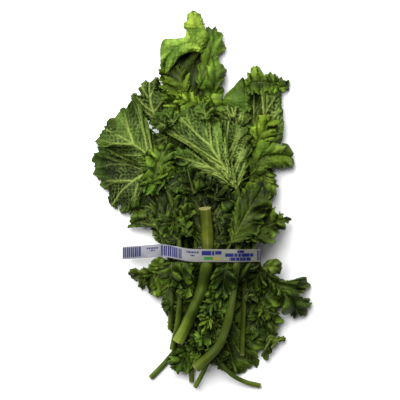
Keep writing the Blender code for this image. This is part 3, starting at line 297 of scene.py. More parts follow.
# Points are (x, y, z), and radii are a stalk's at its foot and at its top. A row of sprigs is (first, last,
# every, size, tone, warm). Leaves are listed in the order in which they are laid down, the lowest first,
# and what is in "over" is laid on when all of them lie. A negative tone is partly the leaf's own darker
# green and partly painted shade, on forms that lie deep in the bunch, low in it or under other leaves.
LEAVES = [
    dict(
        name="leaf_back_left", look=SHADE, radii=(2.6, 1.6),
        stalk=[(-27, -128, 8), (-22, -95, 9), (-15, -55, 9), (-19, 0, 10), (-19, 40, 10), (-17, 80, 9)],
        sprigs=((0.05, 0.30, 13.0, 12.0, -0.05, 0.1), (0.42, 0.70, 12.0, 18.0, 0.0, 0.0)),
        blades=[
            blade(
                rib=[(-15, -50, 9), (-20, 10, 11), (-18, 70, 10), (-16, 106, 6)],
                left=[(-25, -50, 8), (-56, -20, 6), (-66, 10, 5), (-50, 38, 6), (-32, 66, 6), (-30, 92, 5),
                      (-20, 107, 4)],
                right=[(-8, -50, 9), (6, -4, 10), (12, 40, 9), (8, 84, 6), (-13, 107, 4)],
                crown=5.0, fold=4.0, waves=7.0,
            ),
        ],
        lobes=[
            lobe((-24, -108, 9), 205, 13, 12),
            lobe((-22, -94, 9), 150, 14, 14),
            lobe((-17, -78, 9), 20, 16, 16),
            lobe((-26, -118, 8), 300, 20, 18),
        ],
    ),
    dict(
        name="leaf_back_right", look=SHADE, radii=(2.8, 1.6),
        stalk=[(40, -140, 8), (38, -100, 9), (30, -55, 9), (34, -10, 8), (38, 50, 8), (36, 90, 6)],
        sprigs=((0.02, 0.30, 9.0, 17.0, -0.1, 0.0), (0.45, 0.65, 12.0, 18.0, 0.0, 0.0)),
        blades=[
            blade(
                rib=[(30, -50, 9), (36, 20, 11), (38, 70, 9), (34, 102, 6)],
                left=[(21, -50, 9), (12, 0, 10), (8, 44, 9), (14, 84, 7), (30, 104, 5)],
                right=[(40, -50, 9), (60, -28, 7), (72, 10, 5), (74, 52, 5), (60, 88, 4), (37, 104, 4)],
                crown=5.0, fold=4.0, waves=7.0,
            ),
        ],
        lobes=[
            lobe((39, -104, 9), -20, 24, 22),
            lobe((36, -88, 9), 30, 20, 18),
            lobe((37, -92, 9), 200, 18, 18),
        ],
    ),
    dict(
        name="leaf_foot", look=SHADE, radii=(2.4, 1.2),
        stalk=[(4, -24, 10), (7, -55, 10), (13, -90, 12), (22, -125, 12), (32, -160, 8)],
        sprigs=((0.28, 0.95, 10.0, 16.0, -0.03, 0.0),),
        blades=[
            blade(
                rib=[(9, -62, 12), (22, -125, 14), (33, -162, 10), (38, -178, 7)],
                left=[(22, -62, 12), (44, -100, 10), (60, -128, 8), (66, -148, 5), (57, -152, 5),
                      (60, -166, 4), (50, -168, 4), (41, -179, 5)],
                right=[(-2, -62, 11), (-10, -100, 9), (-6, -132, 7), (-14, -150, 5), (2, -160, 5),
                       (14, -166, 5), (24, -172, 5), (35, -179, 5)],
                crown=5.0, fold=4.0, folds=3.0, waves=8.0,
            ),
        ],
        lobes=[
            lobe((8, -68, 11), 205, 22, 22),
            lobe((26, -138, 12), 215, 34, 26),
        ],
    ),
    dict(
        name="leaf_low_right", look=SHADE, radii=(2.4, 1.4),
        stalk=[(50, -22, 16), (47, -55, 17), (54, -84, 18), (62, -112, 17), (69, -136, 12)],
        sprigs=((0.40, 0.85, 9.0, 17.0, -0.16, 0.0), (0.0, 0.12, 8.0, 18.0, -0.1, 0.1)),
        blades=[
            blade(
                rib=[(48, -60, 18), (60, -106, 18), (66, -128, 15), (69, -142, 9)],
                left=[(55, -60, 18), (72, -82, 17), (84, -101, 13), (79, -111, 13), (82, -123, 11),
                      (77, -128, 10), (78, -134, 8), (70, -142, 7)],
                right=[(38, -60, 18), (33, -92, 16), (36, -120, 12), (50, -138, 8), (66, -143, 7)],
                crown=5.0, fold=4.0, ruffle=3.5, waves=7.0,
            ),
            blade(
                rib=[(68, -138, 11), (76, -141, 10), (87, -140, 8)],
                left=[(68, -135, 11), (78, -138, 10), (87, -138.5, 8)],
                right=[(66, -141, 10), (70, -148, 8), (62, -158, 7), (66, -160, 6), (76, -145, 8),
                       (87, -142, 7)],
                crown=0.5, fold=0.5, ruffle=0.8, waves=2.0,
            ),
        ],
        lobes=[
            lobe((49, -24, 17), -10, 24, 20),
            lobe((49, -32, 17), 165, 20, 18),
            lobe((58, -100, 18), 10, 26, 22),
        ],
    ),
    dict(
        name="leaf_out_right", look=SHADE, radii=(2.2, 1.2),
        stalk=[(46, -24, 22), (55, -55, 22), (68, -78, 26), (86, -95, 24)],
        blades=[
            blade(
                rib=[(64, -72, 26), (80, -88, 27), (92, -100, 24), (99, -115, 16)],
                left=[(67, -72, 26), (82, -80, 26), (92, -87, 23), (98, -82, 21), (106, -79, 18),
                      (110, -87, 16), (102, -95, 19), (106, -102, 16), (111, -100, 15), (109, -111, 13),
                      (101, -120, 13)],
                right=[(60, -74, 24), (74, -92, 22), (82, -104, 20), (84, -113, 16), (97, -119, 13)],
                crown=6.0, fold=4.5, folds=3.0, ruffle=2.5, waves=5.0, lag=1.6, veining=0.3, frill=1.2,
                midrib=0.8,
            ),
            blade(
                rib=[(63, -67, 25), (71, -67, 30), (82, -66, 28)],
                left=[(64, -64, 25), (69, -60, 29), (77, -59, 29), (82, -63, 27)],
                right=[(62, -71, 25), (69, -76, 27), (77, -75, 26), (82, -69, 26)],
                ruffle=2.0, waves=2.0,
            ),
        ],
        lobes=[
            lobe((62, -71, 25), 230, 26, 22),
        ],
    ),
    dict(
        name="leaf_out_left", look=OLIVE, radii=(2.2, 1.2),
        stalk=[(-22, -24, 18), (-27, -55, 18), (-38, -72, 22), (-56, -76, 20)],
        sprigs=((0.60, 0.95, 9.0, 14.0, -0.04, 0.1),),
        blades=[
            blade(
                rib=[(-34, -69, 22), (-48, -74, 24), (-60, -76, 22), (-71, -75, 16)],
                left=[(-33, -74, 21), (-36, -95, 18), (-47, -97, 16), (-55, -87, 17), (-59, -91, 15),
                      (-62, -83, 16), (-71, -78, 14)],
                right=[(-33, -66, 22), (-44, -63, 22), (-55, -68, 21), (-62, -70, 19), (-68, -69, 17),
                       (-73, -73, 15)],
                crown=5.0, fold=3.0, waves=5.0,
            ),
            blade(
                rib=[(-28, -60, 19), (-27, -84, 22), (-26, -106, 16)],
                left=[(-20, -60, 20), (-11, -80, 20), (-10, -102, 16), (-23, -110, 13)],
                right=[(-34, -60, 18), (-38, -84, 18), (-36, -104, 14), (-29, -110, 12)],
                fold=3.0, ruffle=3.5,
            ),
        ],
        lobes=[
            lobe((-24, -38, 18), 160, 24, 20),
            lobe((-22, -28, 18), 30, 22, 20),
        ],
    ),
    dict(
        name="leaf_shoulder", look=GREY_UNDERSIDE, radii=(2.7, 1.5),
        stalk=[(-50, -180, 10), (-34, -163, 14), (-20, -144, 18), (-14, -110, 20), (-13, -55, 20),
               (-22, 0, 20), (-28, 44, 22), (-34, 66, 24), (-48, 90, 28)],
        sprigs=((0.12, 0.34, 11.0, 13.0, -0.05, 0.1), (0.75, 0.90, 9.0, 18.0, -0.1, 0.0)),
        blades=[
            blade(
                rib=[(-43, 78, 24), (-48, 92, 31), (-51, 106, 32), (-51, 120, 27)],
                left=[(-47, 82, 23), (-60, 86, 22), (-68, 96, 21), (-71, 105, 21), (-62, 107, 26),
                      (-60, 118, 25), (-54, 121, 24)],
                right=[(-38, 74, 23), (-32, 84, 24), (-32, 104, 28), (-38, 116, 27), (-44, 125, 25),
                       (-48, 121, 25)],
                crown=5.0, fold=2.5, ruffle=1.5, waves=4.0, lag=1.4, veins=3, veining=0.9, frill=0.7,
                tone=-0.06,
            ),
        ],
        lobes=[
            lobe((-24, 12, 20), 170, 34, 30, rise=6),
            lobe((-29, 34, 21), 10, 30, 26, rise=6),
            lobe((-14, -124, 19), 190, 18, 16),
            lobe((-18, -138, 18), 20, 16, 14),
        ],
    ),
    dict(
        name="leaf_tip", look=YOUNG, radii=(2.4, 1.6),
        stalk=[(-8.5, -184, 10), (-9, -160, 15), (-7, -115, 24), (-4, -55, 29), (-5, 0, 28), (-4, 60, 30),
               (0, 104, 32)],
        sprigs=((0.06, 0.30, 10.0, 13.0, -0.25, 0.1), (0.54, 0.78, 9.0, 18.0, -0.25, 0.0)),
        blades=[
            blade(
                rib=[(-4, 76, 30), (-6, 104, 29), (-14, 126, 27), (-28, 146, 27)],
                left=[(-12, 80, 30), (-24, 92, 28), (-36, 106, 29), (-40, 118, 30), (-40, 132, 29),
                      (-33, 148, 28)],
                right=[(6, 78, 30), (12, 96, 29), (10, 120, 27), (10, 142, 27), (0, 156, 27), (-20, 154, 27)],
                crown=-4.0, fold=6.0, folds=4.0, waves=8.0, lag=1.3, veining=0.25, tone=-0.30, warm=0.3,
                midrib=0.4,
            ),
            blade(
                rib=[(-13, 98, 32), (-17, 112, 34), (-22, 126, 34), (-27, 138, 32)],
                left=[(-18, 98, 31), (-28, 104, 32), (-35, 112, 32), (-36, 122, 31), (-34, 132, 31),
                      (-30, 139, 31)],
                right=[(-8, 100, 32), (-9, 114, 33), (-13, 128, 33), (-23, 139, 31)],
                crown=2.0, fold=3.0, folds=3.0, ruffle=2.0, waves=6.0, lag=1.6, veining=0.2, tone=-0.24,
                warm=0.35, midrib=0.3,
            ),
            blade(
                rib=[(0, 112, 33), (5, 128, 35), (11, 146, 36), (14, 160, 35), (12, 174, 33)],
                left=[(-4, 114, 33), (-2, 128, 31), (0, 142, 30), (4, 157, 30), (5, 168, 30), (9, 177, 31)],
                right=[(8, 112, 34), (13, 130, 35), (16, 143, 36), (24, 154, 35), (22, 166, 35),
                       (14, 177, 33)],
                crown=3.0, fold=1.5, folds=1.5, ruffle=1.2, waves=4.0, veining=0.3, frill=0.6, tone=-0.16,
                midrib=0.4,
            ),
            blade(
                rib=[(10, 98, 37), (15, 112, 42), (16, 128, 42), (13, 142, 37)],
                left=[(5, 98, 36), (4, 112, 36), (7, 126, 38), (8, 138, 37), (12, 143, 37)],
                right=[(16, 98, 36), (24, 106, 37), (22, 118, 38), (27, 127, 36), (24, 135, 37),
                       (17, 143, 37)],
                crown=3.0, fold=1.2, ruffle=1.0, waves=3.0, tooth=0.5, veins=3, veining=0.15, frill=0.5,
                pleat=0.2, tone=-0.1, midrib=0.3,
            ),
            blade(
                rib=[(3, 153, 38), (-7, 159, 45), (-20, 155, 47), (-34, 145, 42)],
                left=[(2, 148, 36), (-10, 149, 44), (-21, 143, 45), (-28, 134, 43), (-36, 126, 38)],
                right=[(7, 156, 36), (9, 166, 37), (6, 172, 36), (-2, 177, 34), (-12, 174, 35),
                       (-15, 165, 40), (-38, 160, 41), (-40, 146, 39), (-39, 130, 37)],
                crown=2.5, fold=0.8, ruffle=0.6, waves=3.0, tooth=0.1, lag=1.0, veins=3, veining=0.12,
                frill=0.25, pleat=0.12, tone=0.04, midrib=0.3,
            ),
            blade(
                rib=[(-2, 170, 35), (-5, 181, 34), (-7, 192, 26)],
                left=[(-8, 171, 34), (-16, 175, 31), (-14, 182, 29), (-12, 188, 27), (-8, 192, 25)],
                right=[(3, 171, 34), (4, 179, 32), (0, 187, 29), (-5, 192, 25)],
                crown=2.0, fold=1.0, ruffle=1.0, waves=3.0, tooth=0.5, veining=0.3, frill=0.35, tone=0.07,
                warm=0.3,
            ),
        ],
        lobes=[
            lobe((0, 95, 34), 166, 26, 18, rise=7, tone=-0.07, warm=0.3, frill=1.0),
            lobe((-18, 95, 30), 146, 22, 18, rise=2, tone=-0.3, warm=0.35),
            lobe((0, 84, 33), 30, 30, 26, rise=7, tone=-0.22, warm=0.1),
            lobe((-4, 80, 31), 150, 26, 24, rise=5, tone=-0.1),
            lobe((-5, 20, 28), 165, 24, 22, tone=-0.3),
            lobe((-5, 6, 28), 20, 22, 20, tone=-0.3),
            lobe((-5, -14, 28), 190, 20, 18, tone=-0.3),
            lobe((-9, -150, 17), 230, 28, 22, tone=-0.3),
        ],
    ),
    dict(
        # The heart's low tones paint the deep shade in the middle of the bunch, on top of its own darker
        # green
        name="leaf_heart", look=INNER, radii=(2.6, 1.6),
        stalk=[(2, -150, 20), (6, -120, 27), (12, -90, 32), (15, -55, 33), (15, -20, 34), (12, 22, 36)],
        sprigs=((0.10, 0.46, 8.0, 15.0, -0.05, 0.1), (0.62, 1.0, 8.0, 17.0, -0.35, 0.0)),
        blades=[
            blade(
                rib=[(15, -52, 34), (14, -16, 37), (12, 12, 40), (8, 38, 36)],
                left=[(3, -52, 33), (-10, -28, 34), (-18, 2, 36), (-14, 28, 36), (4, 40, 34)],
                right=[(26, -52, 34), (33, -28, 36), (34, -4, 38), (28, 22, 38), (12, 40, 34)],
                crown=3.0, fold=4.0, folds=3.0, ruffle=3.5, waves=6.0, tone=-0.4,
            ),
            blade(
                rib=[(15, -56, 33), (10, -90, 33), (5, -122, 26)],
                left=[(25, -56, 34), (31, -80, 33), (26, -108, 30), (10, -126, 24)],
                right=[(2, -56, 33), (-9, -80, 31), (-10, -108, 28), (0, -126, 23)],
                crown=3.0, fold=3.0, ruffle=3.5, waves=5.0,
            ),
        ],
        lobes=[
            lobe((4, -134, 24), 350, 22, 20),
            lobe((4, -136, 24), 220, 16, 15),
        ],
        over=[
            lobe((-6, 6, 40), 105, 28, 20, rise=6, tone=0.08, frill=0.8, side="under"),
            lobe((14, 0, 42), 75, 20, 18, rise=5, tone=-0.2, warm=0.15),
            lobe((10, 12, 42), 130, 16, 15, rise=5, tone=-0.2, warm=0.15),
            lobe((-16, -28, 38), 78, 26, 12, rise=6, tone=0.1, warm=0.15),
            lobe((-12, -36, 38), 100, 20, 10, rise=5, tone=0.05, warm=0.15),
        ],
    ),
    dict(
        name="leaf_rolled_right", look=PALE_UNDERSIDE, radii=(2.5, 1.8),
        stalk=[(42.5, -156, 22), (43.5, -120, 29), (45, -84, 34), (46, -55, 36), (48, 0, 38), (54, 50, 42),
               (62, 96, 46)],
        sprigs=((0.22, 0.36, 9.0, 14.0, -0.4, 0.1), (0.48, 0.72, 9.0, 17.0, -0.35, 0.0)),
        blades=[
            blade(
                rib=[(40, 56, 40), (35, 78, 44), (31, 98, 38)],
                left=[(32, 56, 40), (22, 74, 38), (23, 90, 36), (29, 100, 35)],
                right=[(50, 56, 40), (51, 78, 42), (47, 92, 40), (34, 101, 36)],
                crown=3.0, fold=3.0, waves=5.0, tone=-0.05,
            ),
            blade(
                rib=[(48, 88, 40), (46, 104, 46), (45, 122, 40)],
                left=[(41, 88, 40), (23, 99, 36), (27, 107, 38), (35, 115, 40), (43, 125, 39)],
                right=[(52, 88, 36), (52, 105, 36), (48, 123, 37)],
                crown=3.0, fold=0.6, ruffle=0.5, tooth=0.1, veining=0.15, frill=0.2, tone=0.1,
                side="upper",
            ),
            blade(
                rib=[(54, 44, 36), (54, 84, 36), (55, 120, 36)],
                left=[(49, 46, 34), (47, 80, 34), (49, 110, 34), (53, 121, 35)],
                right=[(62, 46, 36), (66, 84, 36), (65, 110, 36), (57, 121, 36)],
                crown=-2.0, fold=1.5, waves=4.0, veining=0.45, frill=0.3, tone=-0.4, midrib=0.3,
            ),
            blade(
                rib=[(64, 46, 45), (65, 80, 49), (67, 104, 49), (66, 122, 42)],
                left=[(60, 46, 44), (61, 68, 45), (61, 90, 45), (61, 108, 44), (62, 122, 41)],
                right=[(76, 46, 40), (82, 58, 42), (84, 84, 44), (82, 106, 42), (84, 116, 39), (76, 123, 40)],
                crown=4.0, fold=5.0, folds=1.2, ruffle=1.0, waves=6.0, tooth=0.4, lag=2.0, veins=4,
                slant=0.16, veining=1.5, frill=0.5, tone=-0.03,
            ),
            blade(
                rib=[(45, 112, 42), (57, 118, 46), (69, 117, 46), (80, 114, 42), (91, 115, 36)],
                left=[(45, 116, 42), (48, 126, 42), (52, 131, 40), (59, 135, 37), (64, 128, 40),
                      (73, 127, 40), (83, 123, 38), (92, 119, 36)],
                right=[(47, 106, 42), (56, 108, 48), (68, 108, 48), (78, 108, 44), (90, 112, 36)],
                crown=2.0, fold=2.0, lag=1.0, veining=0.1, frill=1.3, curl=0.75, tone=0.08, warm=0.25,
                side="upper", midrib=0.3,
            ),
        ],
        lobes=[
            lobe((46, 6, 38), 150, 22, 20, rise=6),
        ],
    ),
    dict(
        name="leaf_low_left", look=SHADE, radii=(2.6, 1.6),
        stalk=[(-30, -130, 13), (-29, -95, 20), (-31, -55, 25), (-34, -20, 30), (-46, 6, 28)],
        blades=[
            blade(
                rib=[(-31, -48, 27), (-38, -14, 31), (-52, 4, 28), (-74, 12, 18)],
                left=[(-34, -48, 26), (-39, -32, 24), (-49, -12, 22), (-60, -25, 18), (-73, -27, 15),
                      (-68, -13, 16), (-81, -10, 13), (-80, 4, 13)],
                right=[(-27, -48, 28), (-13, -30, 32), (-12, 4, 34), (-28, 28, 32), (-56, 30, 24),
                       (-77, 15, 15)],
                crown=3.0, fold=4.5, folds=3.0, waves=7.0, lag=2.2, tone=-0.1,
            ),
            blade(
                rib=[(-32, -47, 28), (-34, -20, 33), (-30, 8, 33)],
                left=[(-36, -47, 27), (-42, -32, 28), (-49, -8, 29), (-44, 10, 30), (-33, 12, 31)],
                right=[(-27, -47, 28), (-17, -32, 31), (-14, -8, 33), (-18, 8, 33), (-27, 12, 32)],
                crown=3.0, fold=3.0, folds=2.0, waves=5.0, lag=1.8, veining=0.3, frill=0.6, tone=-0.12,
            ),
        ],
        lobes=[
            lobe((-29, -104, 19), 200, 10, 9),
            lobe((-29, -88, 21), 20, 14, 13),
        ],
    ),
    dict(
        name="leaf_fan_left", look=FRESH, radii=(3.0, 1.8),
        stalk=[(-28, -150, 16), (-23, -128, 23), (-20, -95, 32), (-20, -55, 37), (-26, -10, 40),
               (-42, 30, 40), (-54, 46, 40)],
        sprigs=((0.30, 0.42, 8.0, 14.0, -0.2, 0.1), (0.84, 0.94, 6.0, 16.0, -0.14, 0.1)),
        blades=[
            # This lower blade's low tone paints the shade under the blade above it
            blade(
                rib=[(-44, 32, 40), (-60, 24, 40), (-76, 12, 33), (-87, 0, 24), (-90, -8, 22)],
                left=[(-42, 26, 40), (-52, 8, 36), (-62, -4, 30), (-75, -11, 26), (-80, -6, 24),
                      (-86, -10, 22)],
                right=[(-46, 36, 41), (-64, 36, 41), (-84, 44, 36), (-102, 54, 26), (-107, 47, 21),
                       (-107, 30, 18), (-102, 18, 18), (-94, 9, 20), (-93, 0, 21), (-90, -6, 22)],
                crown=3.0, fold=4.0, folds=1.4, ruffle=2.5, waves=5.0, lag=3.0, veins=4, slant=0.08,
                veining=0.9, frill=0.9, curl=1.3, pleat=0.9, tone=-0.42, side="under", midrib=1.2,
                bare=0.9,
            ),
            blade(
                rib=[(-46, 40, 42), (-64, 54, 45), (-84, 66, 38), (-98, 72, 27)],
                left=[(-44, 32, 36), (-60, 33, 33), (-82, 41, 27), (-97, 50, 21), (-104, 57, 20),
                      (-103, 66, 23), (-98, 72, 25)],
                right=[(-41, 44, 40), (-45, 58, 38), (-49, 70, 37), (-55, 83, 35), (-60, 95, 31),
                       (-67, 105, 26), (-74, 95, 28), (-79, 91, 27), (-92, 81, 25), (-99, 74, 25)],
                crown=4.0, fold=4.0, folds=1.3, ruffle=2.5, waves=5.0, lag=3.0, veins=4, slant=0.08,
                veining=1.2, frill=1.0, curl=1.3, pleat=0.9, tone=-0.08, side="under", bare=0.9,
            ),
            blade(
                rib=[(-46, 16, 44), (-43, 32, 49), (-38, 45, 49), (-33, 56, 44)],
                left=[(-51, 18, 43), (-58, 30, 44), (-54, 43, 46), (-46, 53, 45), (-36, 57, 44)],
                right=[(-40, 16, 43), (-30, 28, 44), (-25, 42, 45), (-24, 54, 43), (-31, 57, 43)],
                crown=3.0, fold=4.0, folds=2.2, ruffle=3.0, waves=5.0, veining=0.25, frill=1.4, curl=0.8,
                tone=-0.1, warm=0.1, midrib=0.5,
            ),
        ],
        # The low tones of the lobes further down the stalk paint the shade they lie in
        lobes=[
            lobe((-42, 30, 41), 125, 22, 20, rise=5, tone=-0.1),
            lobe((-38, 20, 41), 200, 24, 20, rise=5, tone=-0.08),
            lobe((-34, 12, 41), 30, 24, 20, rise=5, tone=-0.15),
            lobe((-27, -10, 40), 25, 20, 18, rise=4, tone=-0.3, frill=0.7),
            lobe((-24, -22, 40), 190, 20, 18, rise=4, tone=-0.3, frill=0.7),
            lobe((-21, -40, 39), 140, 18, 16, tone=-0.3, frill=0.7),
            lobe((-20, -76, 36), 215, 16, 14, tone=-0.2),
        ],
    ),
    dict(
        name="leaf_side_right", look=BRIGHT, radii=(2.4, 1.5),
        stalk=[(-5, -189, 10), (3, -174, 16), (10, -158, 22), (22, -122, 27), (34, -88, 30), (52, -55, 30),
               (53, -10, 40), (54, 32, 46)],
        sprigs=((0.70, 0.95, 9.0, 16.0, -0.3, 0.2),),
        blades=[
            blade(
                rib=[(54, 26, 46), (62, 42, 50), (78, 46, 46), (93, 43, 38)],
                left=[(49, 28, 46), (47, 46, 48), (56, 58, 48), (66, 61, 48), (76, 57, 47), (86, 55, 43),
                      (92, 52, 39), (96, 46, 37)],
                right=[(58, 22, 46), (66, 30, 49), (76, 32, 46), (84, 32, 42), (92, 33, 38), (96, 40, 37)],
                crown=5.0, fold=3.0, folds=2.0, ruffle=1.6, waves=4.0, tooth=0.6, veining=0.4, frill=0.8,
                curl=1.3, midrib=0.6,
            ),
            blade(
                rib=[(56, 34, 46), (66, 22, 42), (76, 5, 34)],
                left=[(60, 34, 45), (72, 27, 41), (77, 16, 36), (76, 4, 33)],
                right=[(52, 32, 46), (52, 18, 42), (60, 4, 38), (71, 2, 33)],
                fold=3.0, waves=4.0,
            ),
        ],
        lobes=[
            lobe((56, 54, 50), 62, 34, 22, rise=6, tone=-0.02, warm=0.3, frill=1.0),
            lobe((50, 50, 50), 110, 22, 18, rise=5, tone=-0.1),
            lobe((50, 24, 46), 250, 26, 18, rise=3, tone=-0.1),
            lobe((53, 2, 42), 150, 20, 18),
        ],
    ),
    dict(
        name="leaf_flap_right", look=FRESH, radii=(2.3, 1.3),
        stalk=[(61, -188, 10), (46, -184, 13), (33, -177, 16), (21, -164, 21), (14, -130, 32),
               (17, -90, 40), (25, -55, 43), (34, -37, 46), (48, -8, 47)],
        sprigs=((0.22, 0.58, 9.0, 14.0, -0.2, 0.15),),
        blades=[],
        over=[
            blade(
                rib=[(38, -36, 40), (58, -30, 41), (74, -23, 38), (86, -16, 32)],
                left=[(42, -30, 40), (56, -14, 41), (66, -4, 39), (72, -6, 37), (78, -13, 35), (87, -14, 31)],
                right=[(40, -42, 40), (54, -41, 41), (65, -43, 38), (74, -42, 36), (76, -33, 35),
                       (84, -28, 32), (90, -19, 31)],
                crown=2.0, fold=3.0, ruffle=3.0, waves=5.0, tooth=1.2, veining=0.3, frill=1.3, tone=-0.22,
                warm=0.35, midrib=0.6,
            ),
            blade(
                rib=[(31, -42, 46), (40, -25, 49), (51, -6, 49), (64, 14, 43)],
                left=[(30, -41, 45), (31, -24, 46), (36, -6, 49), (42, 8, 48), (52, 18, 45), (62, 17, 42)],
                right=[(35, -43, 45), (50, -37, 43), (60, -30, 41), (64, -16, 41), (70, -6, 40), (69, 8, 41)],
                crown=3.0, fold=3.0, folds=2.5, ruffle=2.0, waves=7.0, lag=1.6, veins=5, veining=0.3,
                frill=1.0, tone=-0.24, warm=0.25, midrib=1.6,
            ),
        ],
        lobes=[
            lobe((15, -118, 36), 140, 18, 15),
            lobe((15, -112, 37), 20, 18, 16),
            lobe((17, -94, 41), 160, 15, 13),
            lobe((14, -134, 31), 200, 20, 16),
            lobe((21, -72, 43), 10, 16, 14),
        ],
    ),
    dict(
        name="leaf_middle", look=PALE_UNDERSIDE, radii=(4.7, 2.3),
        stalk=[(-4, -168, 24), (6, -159, 28), (17, -148, 32), (27, -124, 38), (33, -93, 42), (37, -55, 42),
               (40, -20, 54), (36, 14, 62), (31, 24, 66)],
        blades=[
            blade(
                rib=[(36, 12, 62), (29, 33, 58), (27, 62, 57), (29, 82, 56)],
                left=[(32, 14, 61), (20, 40, 60), (14, 62, 60), (22, 82, 58)],
                right=[(41, 12, 60), (48, 34, 58), (51, 54, 56), (49, 68, 56), (40, 76, 57), (33, 83, 56)],
                crown=3.0, fold=4.0, folds=1.8, waves=5.0, lag=2.0, veining=1.1, frill=0.85, curl=1.2,
                tone=-0.2, midrib=1.5,
            ),
            blade(
                rib=[(36, 12, 63), (22, 36, 70), (9, 57, 74), (5, 76, 72), (-5, 93, 64)],
                left=[(31, 10, 61), (18, 32, 64), (4, 48, 62), (-12, 57, 58), (-24, 63, 58),
                      (-37, 70, 56), (-48, 81, 52), (-38, 90, 55), (-22, 88, 60), (-8, 95, 62)],
                right=[(39, 14, 62), (33, 34, 63), (27, 54, 64), (24, 68, 64), (16, 78, 66), (6, 88, 66),
                       (-2, 95, 63)],
                crown=4.0, fold=4.0, folds=2.6, waves=5.0, lag=2.4, spread=0.85, slant=0.14, veining=1.1,
                frill=0.85, curl=1.25, pleat=0.9, midrib=1.7,
            ),
            blade(
                rib=[(33, 11, 61), (20, 27, 63), (-4, 38, 60), (-26, 44, 54)],
                left=[(30, 8, 60), (12, 24, 60), (-6, 31, 58), (-20, 36, 54), (-28, 42, 52)],
                right=[(35, 12, 61), (24, 32, 62), (6, 44, 60), (-10, 50, 57), (-22, 52, 54), (-29, 46, 52)],
                crown=2.5, fold=2.5, folds=3.0, waves=6.0, lag=1.8, veins=4, slant=0.2, frill=0.7,
                tone=-0.06,
            ),
        ],
        # These lobes' low tones paint the shade they lie in
        lobes=[
            lobe((40, -6, 57), 150, 22, 18, side="upper", tone=-0.4),
            lobe((40, -20, 54), 200, 20, 16, side="upper", tone=-0.4),
        ],
        over=[
            lobe((-26, 76, 60), 125, 18, 15, rise=3, tone=0.12, frill=1.0),
            lobe((-34, 74, 58), 155, 17, 13, rise=3, tone=0.1, frill=1.0),
            lobe((6, 80, 66), 100, 18, 16, rise=3, tone=0.05, frill=1.0),
            lobe((26, -66, 46), 262, 32, 22, rise=3, side="upper", tone=-0.1, frill=1.2),
            lobe((14, -102, 44), 225, 15, 13, rise=4, side="upper", tone=-0.05),
            lobe((10, -118, 44), 235, 16, 12, rise=4, side="upper", tone=0.0, warm=0.4),
        ],
    ),
    dict(
        name="stalk_main", look=THICK_STALK, radii=(5.8, 6.2),
        stalk=[(-22, -142, 36), (-12, -123, 40), (-4, -104, 43), (2, -88, 45), (6, -70, 46),
               (7.5, -50, 46), (7, -28, 50), (5, -8, 54)],
        blades=[],
        lobes=[],
        over=[
            lobe((-8, -84, 47), 225, 17, 12, rise=3, tone=0.05, warm=0.1, frill=1.2),
            lobe((-16, -62, 44), 255, 26, 22, rise=3, tone=-0.1, frill=1.2),
            lobe((-28, -62, 42), 265, 24, 20, rise=3, tone=-0.1, frill=1.2),
        ],
    ),
]


def along(points, t):
    """The smooth curve through the points, read at t from 0 to 1 by length: a cubic between each two
    points, whose slope at a point is that of the line between its neighbours."""
    points = np.asarray(points, float)
    knots = np.concatenate([[0.0], np.cumsum(np.linalg.norm(np.diff(points, axis=0), axis=1))])
    knots = knots / knots[-1]
    slopes = np.gradient(points, knots, axis=0)
    t = np.clip(np.asarray(t, float), 0.0, 1.0)
    first = np.clip(np.searchsorted(knots, t, side="right") - 1, 0, len(points) - 2)
    width = knots[first + 1] - knots[first]
    s = ((t - knots[first]) / width)[..., None]
    width = width[..., None]
    here = (1 + 2 * s) * (1 - s) ** 2 * points[first]
    there = s**2 * (3 - 2 * s) * points[first + 1]
    leaving = s * (1 - s) ** 2 * width * slopes[first]
    arriving = s**2 * (s - 1) * width * slopes[first + 1]
    return here + there + leaving + arriving


def smooth(x, low, high):
    """0 below low, 1 above high and an S-shaped rise between them."""
    s = np.clip((x - low) / (high - low), 0.0, 1.0)
    return s * s * (3 - 2 * s)


def drift(x, y, seed, size, step):
    """A slow irregular wave over the plane, seldom past -1 or 1: the mean of a few sines of about that
    size, each in a direction and at a phase of its own, times DRIFT_SWING."""
    draw = np.random.default_rng(seed + step)
    total = np.zeros(np.shape(x))
    for _ in range(DRIFT_SINES):
        turn = draw.uniform(0, 2 * math.pi)
        length = size * draw.uniform(0.7, 1.4)
        total += np.sin(2 * math.pi * (x * math.cos(turn) + y * math.sin(turn)) / length
                        + draw.uniform(0, 2 * math.pi))
    return total / DRIFT_SINES * DRIFT_SWING


def net_of(x, y, size, seed):
    """The net between scattered points, one in each square of that size: how much further the second
    nearest point is than the nearest one, which is 0 on the net's threads and rises inside its meshes."""
    column = np.floor(x / size).astype(int)
    row = np.floor(y / size).astype(int)
    nearest = np.full(x.shape, FAR)
    second = np.full(x.shape, FAR)
    for i in (-1, 0, 1):
        for j in (-1, 0, 1):
            pick = (column + i) * NET_COLUMN_STEP + (row + j) * NET_ROW_STEP + seed * NET_SEED_STEP
            spot = SCATTER[pick % len(SCATTER)]
            reach = np.hypot(column + i + spot[..., 0] - x / size, row + j + spot[..., 1] - y / size)
            second = np.minimum(np.maximum(nearest, reach), second)
            nearest = np.minimum(nearest, reach)
    return second - nearest


